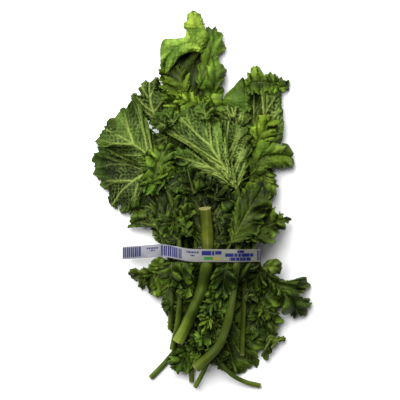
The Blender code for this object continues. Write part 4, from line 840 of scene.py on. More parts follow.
def blade_surface(form, u, v):
    """The blade as its solid has it, at u from base to tip and v from -1 at the right margin to 1 at the
    left one. Each point lies on the line from the rib to the margin, which starts further back on the rib
    as a side vein does. The blade bulges between them, falls in broad folds that grow towards the margin,
    and ripples along the margin itself. Also gives the way from rib to margin, and how far each point is
    from the blade's two ends, up to 1."""
    rib = along(form["rib"], u ** form["lag"] * RIB_END)
    left = along(form["left"], u * MARGIN_END)
    right = along(form["right"], u * MARGIN_END)
    out = np.abs(v)
    margin = np.where((v > 0)[..., None], left, right)
    side = np.where(v > 0, 1.0, -1.0)
    turn = 2 * math.pi * form["waves"] * u + side * 1.3 + form["start"]
    points = rib + out[..., None] * (margin - rib)
    ends = np.clip(np.minimum(u, 1.0 - u) * 8.0, 0.0, 1.0)
    swing = np.sin(2 * math.pi * form["folds"] * u + side * 0.9 + form["start"])
    ripple = np.sin(turn) + 0.35 * np.sin(2.3 * turn + 1.7)
    height = form["crown"] * 4.0 * out * (1.0 - out) * ends
    height = height + form["fold"] * out * swing * ends
    height = height + form["ruffle"] * out**3 * ripple * (0.3 + 0.7 * ends)
    points[..., 2] += height
    return points, margin - rib, ends


def point_of(phase):
    """A row of pointed teeth: 1 at each whole number, falling on both sides with straight flanks to -1."""
    return 1.0 - 2.0 * np.abs(np.sin(math.pi * phase)) ** 0.9


def frilled(form, u, v, seed):
    """The blade's surface with its margin cut and frilled, because a curled leaf's margin grows longer
    than the blade inside it. Teeth reach outwards, square to the margin. Three ripples, each finer and
    closer to the margin than the one before, raise and lower it. The ripples lean over along the margin by
    a share of their own height, so that they overlap like waves and never cross. The whole blade is a
    little crumpled. Also gives how calm the tie keeps each point and how high it is in the ripples."""
    points, across, ends = blade_surface(form, u, v)
    out = np.abs(v)
    half = np.linalg.norm(across[..., :2], axis=-1)
    inset = (1.0 - out) * half
    x = points[..., 0].copy()
    y = points[..., 1].copy()
    run = np.linalg.norm(np.diff(points, axis=0), axis=2)
    run = np.concatenate([np.zeros((1, run.shape[1])), np.cumsum(run, axis=0)])
    way = np.where(v > 0, run[:, -1:], run[:, :1])
    side = np.where(v > 0, 1.0, -1.0)
    shift = seed * 1.7 + side * 2.1
    way = (way + 3.0 * drift(x, y, seed, *WAY_DRIFT)) / form["curl"]
    calm = smooth(np.abs(y - tie_middle(x)), FLAT_TO, FREE_FROM)
    room = np.clip(half / 10.0, 0.1, 1.0) * smooth(out, 0.0, 0.3)
    amount = calm * room * form["frill"] * (0.75 + 0.45 * drift(x, y, seed, *FRILL_DRIFT))
    lean = np.gradient(points, axis=0)
    lean = lean / np.maximum(np.linalg.norm(lean, axis=-1), 1e-6)[..., None]
    edge_lean = np.where((v > 0)[..., None], lean[:, -1:], lean[:, :1])
    outward = across - edge_lean * (across * edge_lean).sum(axis=-1)[..., None]
    outward = outward / np.maximum(np.linalg.norm(outward, axis=-1), 1.0)[..., None]
    patchy = 0.8 + 0.6 * drift(x, y, seed, *TEETH_DRIFT)
    teeth = TEETH_OUTSET + TEETH_WAVE_REACH * np.sin(2 * math.pi * way / TEETH_WAVE + shift)
    for length, phase, depth in TEETH:
        teeth = teeth + depth * patchy * point_of(way / length + phase * shift)
    reach = (1.0 - smooth(inset, 0.0, TEETH_STRIP)) * calm * np.clip(half / 8.0, 0.1, 1.0) * form["tooth"]
    points = points + outward * (teeth * reach)[..., None]
    rise = np.zeros_like(way)
    bend = np.zeros_like(way)
    for length, phase, height, strip in RIPPLES:
        turn = 2 * math.pi * way / length + phase * shift + bend
        bend = RIPPLE_PULL * np.sin(turn)
        rise = rise + height * (1.0 - smooth(inset, 0.0, strip)) * np.sin(turn)
    rise = rise * amount
    points[..., 2] += rise
    points = points + lean * (rise * RIPPLE_LEAN * drift(x, y, seed, *LEAN_DRIFT))[..., None]
    crumple = CRUMPLE * drift(x, y, seed, *CRUMPLE_DRIFT)
    crumple = crumple + FINE_CRUMPLE * drift(x, y, seed, *FINE_CRUMPLE_DRIFT)
    crumple = crumple * (0.3 + 0.7 * min(form["frill"], 1.0))
    points[..., 2] += crumple * calm * (0.3 + 0.7 * out) * ends * np.clip(half / 13.0, 0.3, 1.0)
    return points, calm, rise / 4.0


def normals_of(points):
    """The unit normal at each point of a grid, upwards where the grid runs base to tip and right to left."""
    down = np.gradient(points, axis=0)
    over = np.gradient(points, axis=1)
    normal = np.cross(down, over)
    return normal / np.maximum(np.linalg.norm(normal, axis=-1), 1e-9)[..., None]


def vein_paths(form, seed):
    """The rib, its side veins and two forks on each, as (u, v, widest, narrowest) with u and v along the
    path. A side vein leaves the rib at one place and meets the margin further on, in a slight bow."""
    t = np.linspace(0.0, 1.0, 9)
    draw = np.random.default_rng(seed)
    paths = [(t * 0.99, t * 0.0, form["midrib"], RIB_NARROWEST)]
    for side in (-1.0, 1.0):
        for number in range(form["veins"]):
            share = (number + 0.2 + 0.6 * draw.uniform()) / form["veins"]
            root = 0.01 + form["spread"] * share
            slant = form["slant"] * (1.0 - 0.35 * share) * draw.uniform(0.8, 1.2)
            u = np.minimum(root + slant * t**1.25, MARGIN_END)
            paths.append((u, side * VEIN_REACH * t, *SIDE_VEIN))
            for leaving, more in FORKS:
                turned = slant + more * draw.uniform(0.6, 1.4)
                fork_u = np.interp(leaving, t, u) + turned * t * (1 - leaving)
                fork_v = side * (leaving * VEIN_REACH + (VEIN_REACH - leaving * VEIN_REACH) * t)
                paths.append((np.clip(fork_u, 0.0, MARGIN_END), fork_v, *FORK_VEIN))
    return paths


def near_veins(form, points, seed):
    """How near each point is to a vein: the mask of the veins themselves, which falls off over a vein's
    own width, and the distance to the nearest one in millimetres."""
    mask = np.zeros(points.shape[:2])
    nearest = np.full(points.shape[:2], FAR)
    for u, v, widest, narrowest in vein_paths(form, seed):
        line = blade_surface(form, u, v)[0]
        width = np.linspace(widest, narrowest, len(u))
        for start, end, thick in zip(line[:-1], line[1:], width):
            step = end - start
            share = np.clip(((points - start) @ step) / max(step @ step, 1e-9), 0.0, 1.0)
            gap = np.linalg.norm(points - start - share[..., None] * step, axis=-1)
            nearest = np.minimum(nearest, gap)
            mask = np.maximum(mask, np.exp(-((gap / thick) ** 2)) * min(0.45 + 0.55 * thick, 1.0))
    return mask, nearest


def sheet_faces(rows, columns):
    """Quads of a closed sheet: its upper grid, its lower grid the other way round, and a strip along each
    of the four borders. The lower grid's points follow the upper grid's."""
    corner = (np.arange(rows)[:, None] * (columns + 1) + np.arange(columns)).ravel()
    top = np.stack([corner, corner + columns + 1, corner + columns + 2, corner + 1], axis=1)
    count = (rows + 1) * (columns + 1)
    bottom = top[:, ::-1] + count
    first = np.arange(columns)
    last = first + rows * (columns + 1)
    left = np.arange(rows) * (columns + 1)
    right = left + columns
    strips = [
        np.stack([first + 1, first + 1 + count, first + count, first], axis=1),
        np.stack([last, last + count, last + 1 + count, last + 1], axis=1),
        np.stack([left, left + count, left + columns + 1 + count, left + columns + 1], axis=1),
        np.stack([right + columns + 1, right + columns + 1 + count, right + count, right], axis=1),
    ]
    return top, bottom, np.concatenate(strips)


def length_of(line):
    """The length of the line through the points."""
    return np.linalg.norm(np.diff(line, axis=0), axis=1).sum()


def make_sheet(form, manner, seed):
    """A blade as a closed sheet: its frilled surface, raised into puckers between the veins, with the
    veins themselves standing out of its underside and sunk in its upper side. Its tone and warmth are the
    leaf's and its own, with slow drifts, and its tone carries painted shade, darker in hollows and towards
    the rib, and painted light, lighter on the ripples' crests and towards the margin."""
    rib_length = length_of(along(form["rib"], np.linspace(0, 1, 30)))
    edges = [length_of(along(form[name], np.linspace(0, 1, 60))) for name in ("left", "right")]
    spread = np.linspace(0.1, 0.9, 9)
    width = np.linalg.norm(along(form["left"], spread) - along(form["right"], spread), axis=1).max()
    rows = int(0.5 * (rib_length + max(edges)) / GRID_STEP) + 4
    half = int(width * 0.5 / GRID_STEP) + 3
    across = np.linspace(-1, 1, 2 * half + 1)
    across = np.sign(across) * np.abs(across) ** 0.85
    u, v = np.meshgrid(np.linspace(0, 1, rows + 1), across, indexing="ij")
    out = np.abs(v)
    side = form["side"] or manner["side"]
    flat = blade_surface(form, u, v)[0]
    x, y = flat[..., 0], flat[..., 1]
    points, calm, crest = frilled(form, u, v, seed)
    mask, gap = near_veins(form, flat, seed)
    shift_x = NET_WOBBLE * drift(x, y, seed, *NET_X_DRIFT)
    shift_y = NET_WOBBLE * drift(x, y, seed, *NET_Y_DRIFT)
    net = net_of(x + shift_x, y + shift_y, MESH_SIZE, seed)
    inner = smooth(1.0 - out, 0.0, 0.3)
    patch = 0.7 + 0.4 * drift(x, y, seed, *NET_PATCH_DRIFT)
    netted = 0.15 + 0.85 * smooth(1.0 - out, 0.0, form["bare"])
    thread = (1.0 - smooth(net, 0.03, 0.26)) * netted * form["veining"] * patch
    dome = (1.0 - np.exp(-((gap / PUCKER_RISE) ** 2))) * form["pleat"] + smooth(net, 0.0, 0.6) * 0.85
    dome = dome * (0.3 + 0.7 * inner) * (0.3 + 0.7 * calm)
    wall = BLADE_WALL * (0.7 + 0.6 * inner) * 0.5
    up = 1.0 if side == "upper" else -1.0
    points = points + normals_of(points) * (dome * up)[..., None]
    normal = normals_of(points)
    vein_out = mask * VEIN_RELIEF * (0.3 + 0.7 * calm) * (0.4 + 0.6 * form["veining"])
    if side == "upper":
        high = points + normal * (wall - VEIN_SUNK * vein_out)[..., None]
        low = points - normal * (wall + vein_out)[..., None]
    else:
        high = points + normal * (wall + vein_out)[..., None]
        low = points - normal * (wall - VEIN_SUNK * vein_out)[..., None]
    top, bottom, rim = sheet_faces(rows, 2 * half)
    tone = manner["tone"] + form["tone"] + 0.14 * drift(x, y, seed, *TONE_DRIFT)
    # Painted shade where the blade lies below its own blurred height, and painted light where it lies above
    # it
    hollow = calmed(points[..., 2], HOLLOW_ROUNDS) - points[..., 2]
    shade = np.clip(PAINTED_HOLLOW_SHADE * hollow, -BRIGHTEST_PAINTED_CREST, DARKEST_PAINTED_HOLLOW)
    on_top, below = (UPPER_SIDE, UNDERSIDE) if side == "upper" else (UNDERSIDE, UPPER_SIDE)
    kind = np.concatenate([np.full(len(top), on_top), np.full(len(bottom), below), np.full(len(rim), on_top)])
    on_rib = min(0.4 + 0.6 * form["veining"], 1.0)
    twice = {
        "vein": mask * np.where(out < 0.06, on_rib, (1.0 - 0.6 * out) * form["veining"]),
        "net": thread,
        # The margin's brightness: partly its own paler green, partly painted light shining through its thin
        # edge
        "edge": smooth(out + 0.05 * drift(x, y, seed, *EDGE_DRIFT), 0.75, 1.0),
        # Painted light on the ripples' crests and towards the margin, and painted shade towards the rib and
        # in the hollows
        "tone": tone + 0.12 * crest + 0.10 * (out - 0.5) - shade,
        "warm": manner["warm"] + form["warm"] + 0.15 * drift(x, y, seed, *WARM_DRIFT),
        "cut": np.zeros(u.shape),
    }
    return dict(
        points=np.concatenate([high.reshape(-1, 3), low.reshape(-1, 3)]),
        quads=np.concatenate([top, bottom, rim]),
        triangles=np.zeros((0, 3), int),
        kinds=kind,
        end_kinds=np.zeros(0, int),
        uv=np.tile(flat[..., :2].reshape(-1, 2), (2, 1)) * MM,
        values={name: np.tile(value.ravel(), 2) for name, value in twice.items()},
    )


def make_stalk(leaf, manner, seed):
    """A stalk as a ring carried along its path: round, with shallow ribs along it, a little swollen and
    pinched on its way, and a cut end at the foot that is slightly hollow in its middle."""
    path = np.asarray(leaf["stalk"], float)
    length = length_of(path)
    rings = int(length / STALK_STEP)
    t = np.linspace(0, 1, rings + 1)
    line = along(path, t)
    ahead = np.gradient(line, axis=0)
    ahead = ahead / np.linalg.norm(ahead, axis=1)[:, None]
    aside = np.cross(ahead, [0.0, 0.0, 1.0])
    aside = aside / np.linalg.norm(aside, axis=1)[:, None]
    up = np.cross(aside, ahead)
    radius = leaf["radii"][0] + (leaf["radii"][1] - leaf["radii"][0]) * t
    swell = np.ones_like(t)
    for share, pitch in STALK_SWELLS:
        swell = swell + share * np.sin(t * length / pitch + seed)
    sides = THICK_STALK_SIDES if max(leaf["radii"]) > THICK_STALK_FROM else THIN_STALK_SIDES
    turn = np.arange(sides) * 2 * math.pi / sides
    ribbed = np.ones_like(turn)
    for share, ribs, phase in STALK_RIBS:
        ribbed = ribbed + share * np.cos(ribs * turn + phase * seed)
    rim = (radius * swell)[:, None] * ribbed
    body = (line[:, None] + aside[:, None] * (rim * np.cos(turn))[..., None]
            + up[:, None] * (rim * np.sin(turn))[..., None])
    foot = [line[0] + (body[0] - line[0]) * share + ahead[0] * depth for share, depth in END_RINGS]
    crown = [line[-1] + (body[-1] - line[-1]) * share - ahead[-1] * depth for share, depth in END_RINGS]
    grid = np.concatenate([np.stack(foot[::-1]), body, np.stack(crown)])
    rows = len(grid) - 1
    ring = np.arange(rows)[:, None] * sides
    corner = np.arange(sides)[None, :]
    following = (corner + 1) % sides
    quads = np.stack([ring + corner, ring + following, ring + sides + following, ring + sides + corner],
                     axis=-1).reshape(-1, 4)
    count = len(grid) * sides
    around = np.arange(sides)
    other = (around + 1) % sides
    ends = np.concatenate([
        np.stack([np.full(sides, count), other, around], axis=1),
        np.stack([np.full(sides, count + 1), rows * sides + around, rows * sides + other], axis=1),
    ])
    centres = np.stack([line[0] + ahead[0] * END_DEPTH, line[-1] - ahead[-1] * END_DEPTH])
    caps = len(foot)
    way = np.concatenate([np.zeros(caps), t, np.ones(caps)])
    top_cut = 0.0 if leaf["blades"] or leaf["lobes"] else 1.0
    cut = np.concatenate([np.ones(caps), np.zeros(rings + 1), np.full(caps, top_cut)])
    cut[caps] = CUT_RIM
    cut[-caps - 1] = CUT_RIM * top_cut
    point_way = np.concatenate([np.repeat(way, sides), [0.0, 1.0]])
    point_cut = np.concatenate([np.repeat(cut, sides), [1.0, top_cut]])
    turns = np.concatenate([np.tile(turn, len(grid)), [0.0, 0.0]])
    zero = np.zeros(len(point_way))
    return dict(
        points=np.concatenate([grid.reshape(-1, 3), centres]),
        quads=quads,
        triangles=ends,
        kinds=np.full(len(quads), STALK_SKIN),
        end_kinds=np.full(len(ends), STALK_SKIN),
        uv=np.stack([turns * leaf["radii"][0], point_way * length], axis=1) * MM,
        values={
            "vein": zero,
            "net": zero,
            "edge": zero,
            "tone": manner["stalk_tone"] + (0.12 + 0.24 * top_cut) * (1 - smooth(point_way, 0.0, 0.25)),
            "warm": manner["stalk_warm"] + 0.4 * top_cut * smooth(point_way, 0.5, 0.75),
            "cut": point_cut,
        },
    )


def joined(parts):
    """Several parts as one set of points, faces and values."""
    shift = np.cumsum([0] + [len(part["points"]) for part in parts[:-1]])
    return dict(
        points=np.concatenate([part["points"] for part in parts]),
        quads=np.concatenate([part["quads"] + start for part, start in zip(parts, shift)]),
        triangles=np.concatenate([part["triangles"] + start for part, start in zip(parts, shift)]),
        kinds=np.concatenate([part["kinds"] for part in parts]),
        end_kinds=np.concatenate([part["end_kinds"] for part in parts]),
        uv=np.concatenate([part["uv"] for part in parts]),
        values={name: np.concatenate([part["values"][name] for part in parts])
                for name in parts[0]["values"]},
    )


def field_cells():
    """How many cells the heap's height field has along X and Y."""
    return int((FIELD_X[1] - FIELD_X[0]) / CELL), int((FIELD_Y[1] - FIELD_Y[0]) / CELL)


def cell_middles():
    """Where the middle of each cell is along Y."""
    return FIELD_Y[0] + (np.arange(field_cells()[1]) + 0.5) * CELL


def cell_of(x, y):
    """The cell that each point is in."""
    wide, long = field_cells()
    i = np.clip(((x - FIELD_X[0]) / CELL).astype(int), 0, wide - 1)
    j = np.clip(((y - FIELD_Y[0]) / CELL).astype(int), 0, long - 1)
    return i, j


def read_field(field, x, y):
    """The field's value at each point, blended between the middles of the four nearest cells."""
    wide, long = field.shape
    p = np.clip((x - FIELD_X[0]) / CELL - 0.5, 0, wide - 1.001)
    q = np.clip((y - FIELD_Y[0]) / CELL - 0.5, 0, long - 1.001)
    i = p.astype(int)
    j = q.astype(int)
    a = p - i
    b = q - j
    low = field[i, j] * (1 - a) + field[i + 1, j] * a
    high = field[i, j + 1] * (1 - a) + field[i + 1, j + 1] * a
    return low * (1 - b) + high * b


def widened(field, cells):
    """Each cell takes the highest value within so many cells of it."""
    for _ in range(cells):
        tall = field.copy()
        tall[1:] = np.maximum(tall[1:], field[:-1])
        tall[:-1] = np.maximum(tall[:-1], field[1:])
        wide = tall.copy()
        wide[:, 1:] = np.maximum(wide[:, 1:], tall[:, :-1])
        wide[:, :-1] = np.maximum(wide[:, :-1], tall[:, 1:])
        field = wide
    return field


def sum_around(field):
    """The sum of each cell's four neighbours."""
    return np.roll(field, 1, 0) + np.roll(field, -1, 0) + np.roll(field, 1, 1) + np.roll(field, -1, 1)


def settled(need, footprint, held):
    """A smooth lift that meets the need everywhere, as a limp sheet pulled down onto a heap: each cell
    takes the mean of its neighbours, a little less for its weight, and never less than its need."""
    lift = np.where(held, 0.0, np.maximum(need, LOWEST_SAG))
    weight = footprint.astype(float)
    total = np.maximum(sum_around(weight), 1.0)
    for _ in range(SETTLE_STEPS):
        lift = np.maximum(sum_around(lift * weight) / total - SAG, need)
        lift = np.where(held, np.maximum(lift, 0.0), lift)
        lift = np.where(footprint, lift, 0.0)
    return lift


def lay(points, heap, stiffness=LIMP):
    """The lift that lays a leaf's points on the heap, blurred the more, the stiffer the leaf is, and the
    heap with the leaf on it."""
    x, y, z = points.T
    i, j = cell_of(x, y)
    under = np.full(heap.shape, NOTHING)
    np.minimum.at(under, (i, j), z)
    footprint = under < NOTHING
    near = widened(footprint.astype(float), NEAR_CELLS) > 0.5
    need = np.where(footprint, heap + CLEARANCE - under, -NOTHING)
    held = near & (np.abs(cell_middles() - TIE_Y) < HELD_BY_TIE)[None, :]
    rows = np.flatnonzero(near.any(axis=1))
    columns = np.flatnonzero(near.any(axis=0))
    part = (slice(max(rows[0] - 1, 0), rows[-1] + 2), slice(max(columns[0] - 1, 0), columns[-1] + 2))
    lift = np.zeros_like(heap)
    lift[part] = calmed(settled(need[part], near[part], held[part]), stiffness)
    raised = read_field(lift, x, y)
    top = heap.copy()
    np.maximum.at(top, (i, j), z + raised)
    return raised, top


def calmed(field, rounds):
    """The field blurred: each cell takes the mean of itself and its four neighbours, so many times."""
    for _ in range(rounds):
        grown = np.pad(field, 1, mode="edge")
        field = (field + grown[:-2, 1:-1] + grown[2:, 1:-1] + grown[1:-1, :-2] + grown[1:-1, 2:]) / 5
    return field


def pressed(points, crest):
    """The heap sunk under its own weight. Where its crest is H high it comes down to a height T that never
    passes TALLEST. The uppermost layer keeps its form, what is under it is squeezed in proportion, and
    what stands above the crest is bent down the more, the higher it stands. The stalks that the tie holds
    give way less."""
    x, y, z = points.T
    high = read_field(crest, x, y)
    low = TALLEST * (1.0 - np.exp(-high / TALLEST))
    give = TIE_GIVE + (1.0 - TIE_GIVE) * smooth(np.abs(y - TIE_Y), TIE_GIVE_TO, FULL_GIVE_FROM)
    low = high + (low - high) * give
    layer = np.minimum(LOOSE_LAYER, 0.5 * low)
    upper = low + np.where(z > high, SPARE * (1.0 - np.exp(-np.maximum(z - high, 0.0) / SPARE)), z - high)
    lower = z * (low - layer) / np.maximum(high - layer, 1.0)
    return above_board(np.where(z > high - layer, upper, lower))


def above_board(z):
    """Heights that come near the board or pass below it flatten out just above it."""
    bent = SKIN_ABOVE_BOARD * np.exp(np.minimum(z / SKIN_ABOVE_BOARD - 1, 0))
    return np.where(z < SKIN_ABOVE_BOARD, bent, z)


def tie_middle(x):
    """The tie's middle line along the bunch: straight, slanting up on the left, and falling in the tail."""
    share = np.clip((TIE_SLANT_FROM - x) / (TIE_SLANT_FROM - TIE_SLANT_TO), 0.0, 1.0)
    tail = np.maximum(TIE_SLANT_TO - x, 0.0)
    return TIE_Y + TIE_SLANT * share**2 * (3 - 2 * share) - TAIL_FALL * tail


def fill_object(name, part, materials):
    """A mesh object from points, quads, triangles, a material for each face, a UV map and the values that
    its materials read."""
    mesh = bpy.data.meshes.new(name)
    quads = part["quads"]
    triangles = part["triangles"]
    corners = np.concatenate([quads.ravel(), triangles.ravel()]).astype(np.int32)
    starts = np.concatenate([np.arange(len(quads)) * 4, len(quads) * 4 + np.arange(len(triangles)) * 3])
    mesh.vertices.add(len(part["points"]))
    mesh.vertices.foreach_set("co", (part["points"] * MM).astype(np.float32).ravel())
    mesh.loops.add(len(corners))
    mesh.loops.foreach_set("vertex_index", corners)
    mesh.polygons.add(len(starts))
    mesh.polygons.foreach_set("loop_start", starts.astype(np.int32))
    mesh.polygons.foreach_set("material_index",
                              np.concatenate([part["kinds"], part["end_kinds"]]).astype(np.int32))
    mesh.polygons.foreach_set("use_smooth", np.ones(len(starts), bool))
    mesh.update(calc_edges=True)
    uv = mesh.uv_layers.new(name="surface")
    uv.data.foreach_set("uv", part["uv"][corners].astype(np.float32).ravel())
    for value_name, value in part["values"].items():
        layer = mesh.attributes.new(value_name, "FLOAT", "POINT")
        layer.data.foreach_set("value", value.astype(np.float32))
    for material in materials:
        mesh.materials.append(material)
    thing = bpy.data.objects.new(name, mesh)
    bpy.context.scene.collection.objects.link(thing)
    return thing


def linear(colour):
    """An sRGB hex colour as linear red, green, blue and a full alpha."""
    parts = [int(colour[i:i + 2], 16) / 255 for i in (0, 2, 4)]
    return (*[c / 12.92 if c <= 0.04045 else ((c + 0.055) / 1.055) ** 2.4 for c in parts], 1.0)


def add_node(tree, kind, settings=None, inputs=None, stops=()):
    """Adds a node with its settings. An input is a value, or the output socket that feeds it. Stops are a
    ramp's places and sRGB hex colours, first the two that a new ramp has."""
    made = tree.nodes.new(kind)
    for name, value in (settings or {}).items():
        setattr(made, name, value)
    for name, value in (inputs or {}).items():
        if isinstance(value, bpy.types.NodeSocket):
            tree.links.new(value, made.inputs[name])
        else:
            made.inputs[name].default_value = value
    for number, (place, colour) in enumerate(stops):
        marks = made.color_ramp.elements
        mark = marks[number] if number < 2 else marks.new(place)
        mark.position = place
        mark.color = linear(colour)
    return made


def new_material(name, roughness, specular):
    """A material with one Principled surface, its roughness and its specular level set on it."""
    material = bpy.data.materials.new(name)
    material.use_nodes = True
    shader = material.node_tree.nodes["Principled BSDF"]
    shader.inputs["Roughness"].default_value = roughness
    shader.inputs["Specular IOR Level"].default_value = specular
    return material, material.node_tree, shader


def scale_for(size):
    """The scale of a noise whose patches are about so many millimetres across."""
    return 1.0 / (size * MM)


def leaf_side(name, roughness, specular, cool, warm, paler):
    """One side of a leaf: green from dark to light by its tone, which carries painted light and shade,
    towards a yellower green where it is warm, with paler veins, a paler net and a brighter margin, each an
    attribute with its colour and its share; the margin's brightness is partly its own paler green and partly
    painted light that shines through its thin edge.
    It is mottled, and a fine grain breaks its gloss."""
    material, tree, shader = new_material(name, roughness, specular)
    place = add_node(tree, "ShaderNodeTexCoord").outputs["Object"]
    read = {key: add_node(tree, "ShaderNodeAttribute", {"attribute_name": key}).outputs["Fac"]
            for key in ("tone", "warm", "vein", "net", "edge")}
    mottle = add_node(tree, "ShaderNodeTexNoise", {}, {"Vector": place, "Scale": scale_for(MOTTLE_SIZE),
                                                       "Detail": 4.0, "Roughness": 0.6}).outputs["Fac"]
    tone = add_node(tree, "ShaderNodeMath", {"operation": "MULTIPLY_ADD"},
                    {0: mottle, 1: MOTTLE, 2: read["tone"]}).outputs[0]
    tone = add_node(tree, "ShaderNodeMath", {"operation": "SUBTRACT", "use_clamp": True},
                    {0: tone, 1: MOTTLE * NOISE_MEAN}).outputs[0]
    cool_green = add_node(tree, "ShaderNodeValToRGB", {}, {"Fac": tone}, cool).outputs["Color"]
    warm_green = add_node(tree, "ShaderNodeValToRGB", {}, {"Fac": tone}, warm).outputs["Color"]
    colour = add_node(tree, "ShaderNodeMix", {"data_type": "RGBA"},
                      {SHARE: read["warm"], BASE: cool_green, LAID_ON: warm_green}).outputs[MIXED]
    for key, shade, share in paler:
        amount = add_node(tree, "ShaderNodeMath", {"operation": "MULTIPLY", "use_clamp": True},
                          {0: read[key], 1: share}).outputs[0]
        colour = add_node(tree, "ShaderNodeMix", {"data_type": "RGBA"},
                          {SHARE: amount, BASE: colour, LAID_ON: linear(shade)}).outputs[MIXED]
    tree.links.new(colour, shader.inputs["Base Color"])
    grain = add_node(tree, "ShaderNodeTexNoise", {}, {"Vector": place, "Scale": scale_for(GRAIN_SIZE),
                                                      "Detail": 3.0}).outputs["Fac"]
    bump = add_node(tree, "ShaderNodeBump", {}, {"Strength": 0.35, "Distance": GRAIN_DEPTH * MM,
                                                 "Height": grain})
    tree.links.new(bump.outputs["Normal"], shader.inputs["Normal"])
    return material


def stalk_skin():
    """A stalk's skin: smooth, with a thin wax bloom that keeps it from shining, in long pale and dark
    streaks and with broad blotches. A cut face shows the pale pith."""
    material, tree, shader = new_material("mustard_stalk_skin", 0.55, 0.1)
    surface = add_node(tree, "ShaderNodeUVMap", {"uv_map": "surface"}).outputs["UV"]
    place = add_node(tree, "ShaderNodeTexCoord").outputs["Object"]
    read = {key: add_node(tree, "ShaderNodeAttribute", {"attribute_name": key}).outputs["Fac"]
            for key in ("tone", "warm", "cut")}
    long = add_node(tree, "ShaderNodeMapping", {},
                    {"Vector": surface, "Scale": (scale_for(STREAK_WIDTH), scale_for(STREAK_LENGTH), 1.0)})
    streak = add_node(tree, "ShaderNodeTexNoise", {}, {"Vector": long.outputs["Vector"], "Scale": 1.0,
                                                       "Detail": 3.0}).outputs["Fac"]
    blotch = add_node(tree, "ShaderNodeTexNoise", {}, {"Vector": place, "Scale": scale_for(BLOTCH_SIZE),
                                                       "Detail": 2.0}).outputs["Fac"]
    tone = add_node(tree, "ShaderNodeMath", {"operation": "MULTIPLY_ADD"},
                    {0: streak, 1: STREAK, 2: read["tone"]}).outputs[0]
    tone = add_node(tree, "ShaderNodeMath", {"operation": "MULTIPLY_ADD"},
                    {0: blotch, 1: BLOTCH, 2: tone}).outputs[0]
    tone = add_node(tree, "ShaderNodeMath", {"operation": "SUBTRACT", "use_clamp": True},
                    {0: tone, 1: (STREAK + BLOTCH) * NOISE_MEAN}).outputs[0]
    green = add_node(tree, "ShaderNodeValToRGB", {}, {"Fac": tone},
                     ((0.0, "162208"), (1.0, "86a03e"), (0.35, "344c14"), (0.65, "587424"))).outputs["Color"]
    olive = add_node(tree, "ShaderNodeValToRGB", {}, {"Fac": tone},
                     ((0.0, "1c1d04"), (1.0, "988f38"), (0.35, "42440e"), (0.65, "6c6a1e"))).outputs["Color"]
    colour = add_node(tree, "ShaderNodeMix", {"data_type": "RGBA"},
                      {SHARE: read["warm"], BASE: green, LAID_ON: olive}).outputs[MIXED]
    colour = add_node(tree, "ShaderNodeMix", {"data_type": "RGBA"},
                      {SHARE: read["cut"], BASE: colour, LAID_ON: linear("8f8c54")}).outputs[MIXED]
    tree.links.new(colour, shader.inputs["Base Color"])
    bump = add_node(tree, "ShaderNodeBump", {}, {"Strength": 0.3, "Distance": STREAK_DEPTH * MM,
                                                 "Height": streak})
    tree.links.new(bump.outputs["Normal"], shader.inputs["Normal"])
    return material


def tie_paper():
    """Coated white paper over a flat wire, painted darker towards its right end as shade, printed in blue
    with plain bars and blocks, and with one small block each of green and yellow."""
    material, tree, shader = new_material("coated_tie_paper", 0.6, 0.12)
    place = add_node(tree, "ShaderNodeTexCoord").outputs["Object"]
    read = {key: add_node(tree, "ShaderNodeAttribute", {"attribute_name": key}).outputs["Fac"]
            for key in ("painted_shade", "blue", "green", "yellow")}
    wear = add_node(tree, "ShaderNodeTexNoise", {}, {"Vector": place, "Scale": scale_for(WEAR_SIZE),
                                                     "Detail": 3.0}).outputs["Fac"]
    colour = add_node(tree, "ShaderNodeValToRGB", {}, {"Fac": wear},
                      ((0.3, "707078"), (0.75, "8a8a90"))).outputs["Color"]
    # The first colour is painted shade, which darkens the paper towards its right end
    for key, shade in (("painted_shade", "66665c"), ("blue", "0d134c"), ("green", "245c20"), ("yellow", "7c6c26")):
        colour = add_node(tree, "ShaderNodeMix", {"data_type": "RGBA"},
                          {SHARE: read[key], BASE: colour, LAID_ON: linear(shade)}).outputs[MIXED]
    tree.links.new(colour, shader.inputs["Base Color"])
    return material


def outline_round(points):
    """The convex outline, in X and Z, of the points that the tie holds, a little clear of them."""
    beside = np.abs(points[:, 1] - tie_middle(points[:, 0])) < TIE_WIDTH * 0.5 + RING_GAP
    beside &= (points[:, 0] > TIE_REACH[0]) & (points[:, 0] < TIE_REACH[1])
    places = points[beside][:, [0, 2]]
    order = np.lexsort((places[:, 1], places[:, 0]))
    half = []
    for ordered in (places[order], places[order[::-1]]):
        chain = []
        for point in ordered:
            while len(chain) > 1 and np.cross(chain[-1] - chain[-2], point - chain[-2]) <= STRAIGHT:
                chain.pop()
            chain.append(point)
        half.append(np.array(chain[:-1]))
    corners = np.concatenate(half)
    closed = np.concatenate([corners, corners[:1]])
    run = np.concatenate([[0.0], np.cumsum(np.linalg.norm(np.diff(closed, axis=0), axis=1))])
    even = np.linspace(0, run[-1], int(run[-1] / TIE_STEP), endpoint=False)
    line = np.stack([np.interp(even, run, closed[:, axis]) for axis in (0, 1)], axis=1)
    for _ in range(RING_ROUNDS):
        line = (np.roll(line, 1, 0) + line + np.roll(line, -1, 0)) / 3
    first = np.argmin(line[:, 0])
    line = np.roll(line, -first, axis=0)[::-1]
    return np.concatenate([line, line[:1]])


